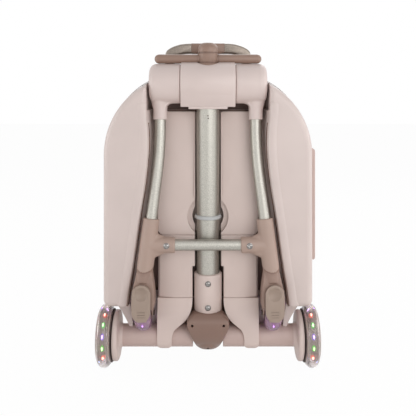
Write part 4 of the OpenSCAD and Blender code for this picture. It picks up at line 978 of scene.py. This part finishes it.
# %% Pedals
PEDAL_X, PEDAL_R = 105.5, 14.7
oval = arc(PEDAL_X, -322.3 - PEDAL_R, PEDAL_R, 0, 180, 18)
oval += arc(PEDAL_X, -378.5 + PEDAL_R, PEDAL_R, 180, 360, 18)
plate = pulled("pedal_moulded_right", oval, -17.3, -11.3)
dish_place = Vector((PEDAL_X, -28.0, -336.5)) * mm
bpy.ops.mesh.primitive_uv_sphere_add(segments=48, ring_count=32, radius=15 * mm, location=dish_place)
dish = named("dish")
ribs = [box("rib", (99, -19, -371.6 + 3.9 * i), (111.5, -16.1, -370.6 + 3.9 * i)) for i in range(3)]
cut(plate, dish, *ribs)
soften(plate, 1.3, 4, 32)
pin = rod("pin", (88.5, -4.8, -334.5), (121.5, -4.8, -334.5), 2.5, 24)
lug = soften(box("lug", (98.5, -11.5, -337.5), (111.5, -2, -331.5)), 1)
shoe = soften(box("shoe", (97, -11.5, -380), (113, -6.8, -366)), 1)
pedal = joined("pedal_moulded_right", plate, pin, lug, shoe)
hand_over_pair(pedal, "pedal_right", pedal_plastic, "taupe_plastic", "pedal", swing_place)

# %% [markdown]
# ## Screws
# Dome heads of 9.5 mm with a cross recess. One is turned and cut, then copied to each place.

# %% Screws
dome = [(0, 0), (0, 4.85), (-0.9, 4.85), (-1.0, 4.3), (-1.7, 3.9), (-2.4, 2.7), (-2.85, 1.2),
        (-2.95, 0)]
screw = turned("screw", dome, (0, 0, 0), "Y", 40)
for long, high in ((2.6, 0.6), (0.6, 2.6)):
    cut(screw, box("slot", (-long, -4, -high), (long, -1.5, high)))
soften(screw, 0.12, 2)
on_column = [Matrix.Translation(Vector((0, -75.3, z)) * mm) for z in (103, 142)]
on_frame = [swing_place @ Matrix.Translation(Vector((x, -12.7, CROSS_Z)) * mm) for x in (-66.5, 66.5)]
for body, places in (("column", on_column), ("frame", on_frame)):
    heads = joined("screws_" + body, *[copied(screw, "head", place) for place in places])
    hand_over(heads, body, screw_chrome, "steel", body + "_screws")
bpy.data.objects.remove(screw)

# %% [markdown]
# ## Rear wheels
# A clear tyre is turned round a mauve band. A ring of long lamps stands in the tyre, with a
# faint painted glow round each: a flat lit patch under the lamp. A thin dark disc in the gap
# between the wheel and the hub cover is painted shade for that gap.


# %% Rear wheels
def tyre_profile():
    turns = [0.28 + i * (math.pi - 0.56) / 16 for i in range(17)]
    outside = [(-12 * math.cos(t), 36 + 14 * math.sin(t)) for t in turns]
    inside = [(6.5, 40.5), (5.8, 44.8), (-5.8, 44.8), (-6.5, 40.5)]
    return [(-8.5, 39.8)] + outside + [(8.5, 39.8)] + inside + [(-8.5, 39.8)]


LAMP_COLOURS = ["#B070FF", "#FF6A50", "#60F060", "#9060FF", "#70F050", "#FF7050", "#A060FF", "#60A0FF"]


def lamp_ring(name, body, centre, radius, count, size, start, gain, white, colours=LAMP_COLOURS):
    """Small balls of the given half sizes round a wheel, each with its colour on its faces."""
    lamps = []
    for i in range(count):
        turn = math.radians(start + 360 * i / count)
        bpy.ops.mesh.primitive_uv_sphere_add(segments=12, ring_count=8, radius=1)
        lamp = bpy.context.object
        lamp.scale = Vector(size) * mm
        lamp.rotation_euler = (turn, 0, 0)
        lamp.location = (Vector(centre) + Vector((0, -math.sin(turn), math.cos(turn))) * radius) * mm
        named("lamp")
        tint = lamp.data.color_attributes.new("lamp_colour", "FLOAT_COLOR", "CORNER")
        colour = [c * gain + white for c in light(colours[i % len(colours)])[:3]] + [1]
        for corner in tint.data:
            corner.color = colour
        lamps.append(lamp)
    ring = joined(name, *lamps)
    bpy.ops.object.shade_smooth()
    return hand_over(ring, body, lamp_glow, "lamp")


WHEEL_X = 169.5
SIDES = ((1, "right"), (-1, "left"))
for side, word in SIDES:
    centre, body = (side * WHEEL_X, AXLE_Y, AXLE_Z), "wheel_" + word
    tyre = turned("tyre_clear_" + word, tyre_profile(), centre, "X", 96)
    hand_over(tyre, body, tyre_clear, "clear_tyre", "tyre_" + word)
    band = turned("light_band_" + word, [(-5, 38), (-5, 40.2), (5, 40.2), (5, 38), (-5, 38)], centre, "X", 96)
    hand_over(band, body, rim_mauve, "lamp", "lamps_" + word)
    # Flat lit patches round the lamps: painted glow of their light in the tyre.
    lamp_ring("wheel_halos_" + word, body, centre, 40.6, 15, (1.9, 5.4, 0.8), 0, 0.13, 0)
    lamp_ring("wheel_lamps_" + word, body, centre, 42.6, 15, (0.8, 3.0, 1.1), 0, 1.2, 0.25)
    # A thin dark disc in the gap between the wheel and its hub cover: painted shade for the gap.
    profile = [(-12.9, 12), (-12.9, 41.5), (-12.2, 42), (-11.9, 41.5), (-11.9, 12), (-12.9, 12)]
    seal = turned("wheel_seal_" + word, profile, (0, AXLE_Y, AXLE_Z))
    seal.data.transform(Matrix.Diagonal((side, 1, 1, 1)) @ Matrix.Translation((WHEEL_X * mm, 0, 0)))
    hand_over(seal, body, foot_rubber, "brown_trim")

# %% [markdown]
# ## Small wheels
# Clear wheels with a solid core and five lamps, each with a painted glow round it. They show
# below the pedals and throw colour on the parts beside them.

# %% Small wheels
small_centre = swing_place @ Vector((0, SMALL_Y * mm, SMALL_Z * mm)) / mm
for side, word in SIDES:
    centre, body = (side * 105, small_centre.y, small_centre.z), "caster_" + word
    turns = [i * math.pi / 16 for i in range(17)]
    profile = [(-12, 16)] + [(-13 * math.cos(t), 17.5 + 10.5 * math.sin(t)) for t in turns]
    rim = turned("small_tyre_" + word, profile + [(12, 16), (-12, 16)], centre)
    hand_over(rim, body, small_clear, "clear_tyre", body)
    profile = [(-12, 4.1), (-12, 14), (-10, 15.8), (10, 15.8), (12, 14), (12, 4.1), (-12, 4.1)]
    hand_over(turned("small_core_" + word, profile, centre), body, rim_mauve, "clear_tyre")
    lamp_ring("small_lamps_" + word, body, centre, 23.5, 5, (0.9, 1.8, 1.2), 126, 1.2, 0.3, ["#B060F4"])
    # A flat lit patch round each lamp: painted glow.
    lamp_ring("small_painted_glow_" + word, body, centre, 20.5, 5, (4.0, 6.0, 1.0), 126, 0.06, 0, ["#C060D0"])

# %% [markdown]
# ## Pull handle
# The stem is turned: a flared foot, a groove, the body round the bar and a chamfered top
# with the release button sunk in it. Thin dark discs in the stem's grooves and where the bar
# enters it are painted shade for those grooves, and two small marks lie on the column below.

# %% Pull handle
profile = [(496, 0), (496, 17.2), (497.2, 18.4), (500.5, 18.4), (501.8, 17), (502.6, 16), (503.8, 15.6),
           (504.8, 16.2), (517.8, 16.6), (518.4, 15.4), (519.8, 15.4), (520.4, 16.6), (526, 16.6),
           (529.5, 15.8), (533.4, 12.6), (534, 11.8), (534, 11.2), (532.4, 10.9), (532.4, 0)]
stem = turned("stem_moulded", profile, (0, AXLE_Y, 0), "Z", 64)
hand_over(stem, "handle", bar_plastic, "fork_plastic", "handle_stem")
profile = [(-89, 0), (-88.4, 3.2), (-86.5, 5.8), (-84, 7.2), (-81.5, 7.75), (-17.6, 7.75)]
profile += [(-x, r) for x, r in reversed(profile)]
bar = turned("bar_moulded", profile, (0, AXLE_Y, BAR_Z), "X", 48)
hand_over(bar, "handle", bar_plastic, "fork_plastic", "handle_bar")
profile = [(528, 0), (528, 10.4), (533.8, 10.4), (535.2, 9.6), (535.8, 8), (536, 0)]
button = turned("button_moulded", profile, (0, AXLE_Y, 0), "Z", 48)
hand_over(button, "button", pedal_plastic, "taupe_plastic", "release_button")
# Dark rings where the bar enters the stem and in the stem's grooves: painted shade.
groove_shades = [rod("seal", (s * 17.2, AXLE_Y, BAR_Z), (s * 18.4, AXLE_Y, BAR_Z), 8.3) for s in (-1, 1)]
groove_shades += [rod("seam", (0, AXLE_Y, z), (0, AXLE_Y, z + 0.7), r, 64) for z, r in ((503, 16.9), (518.8, 16.5))]
hand_over(joined("bar_groove_shades", *groove_shades), "handle", foot_plastic, "dark_plastic")
marks = [rod("mark", (x, -72, z), (x, -70.5, z), 1.1, 16) for x, z in ((0, 415.5), (0.6, 411.3))]
hand_over(joined("tube_marks", *marks), "column", foot_rubber, "dark_plastic")

# %% [markdown]
# ## Carry handle
# An arch of ribbed aluminium with a soft grip over its middle: the arch's outline is pulled
# through its depth, and all its edges are well rounded.

# %% Carry handle
outer = eased([(75, 479), (75, 508), (74.2, 518), (71.4, 525), (64, 530.4), (54, 534.4), (43, 536.9),
               (28, 537.8)], 4)
outer.append((20, 537.8))
inner = [(20, 520)] + eased([(28, 520), (42, 519.5), (52, 516), (57.5, 509), (59, 498), (59, 479)], 4)
arm = soften(pulled("arch_right", outer + inner, -12.3, 5.3), 4.5, 4)
hand_over_pair(arm, "case", arch_metal, "champagne_metal", "carry_arm")


def strap(name, low, high):
    """A bar along x whose long edges are well rounded."""
    piece = box(name, low, high)
    choose(piece, "edges", lambda p: abs(p.x - (low[0] + high[0]) / 2) < 0.1)
    return soften(bevel_chosen(piece, 4.8, 5), 0.3, 2)


grip = strap("arch_grip", (-28, -12.7, 519.8), (28, 5.7, 538.2))
seams = [strap("seam", (x - 0.35, -12.8, 519.7), (x + 0.35, 5.8, 538.3)) for x in (-28.4, 28.4)]
hand_over(joined("grip_seams", *seams), "case", foot_plastic, "dark_plastic")
hand_over(grip, "case", bar_plastic, "dark_plastic", "carry_grip")

# %% [markdown]
# ## Side handle
# A bowed strap between two end blocks on the right side.

# %% Side handle
outline = [(168, 168), (180.5, 168), (182, 169.2), (182.75, 172), (182.75, 352), (182.3, 355),
           (178, 358.5), (168, 359), (168, 337), (176, 334), (177.4, 330), (177.4, 196), (176, 192),
           (168, 190)]
handle = soften(pulled("side_handle_moulded", outline, -28.5, -4.5), 1.6)
hand_over(handle, "case", beam_plastic, "taupe_plastic", "side_handle")

# %% [markdown]
# ## Solids that keep their shape
# Tubes, rods, rails and small parts already have the right shape, so they only get a finish.

# %% Finishes for the other solids
FINISHES = {
    tube_metal: ["column_tube", "arm_tube_left", "arm_tube_right", "cross_tube", "slide_tube"],
    screw_chrome: ["axle_rod", "zip_slider"],
    dark_steel: ["caster_pins"],
    beam_plastic: ["beam_left", "beam_right"],
    shell_plastic: ["wheel_core_left", "wheel_core_right"],
    bar_plastic: ["hinge_case", "hinge_lid"],
    foot_plastic: ["rail_left", "rail_right"],
    foot_rubber: ["rubber_foot_left", "rubber_foot_right"],
}
for material, members in FINISHES.items():
    for member in members:
        painted(nodes[member], material)
    print(material.name, "on", len(members))
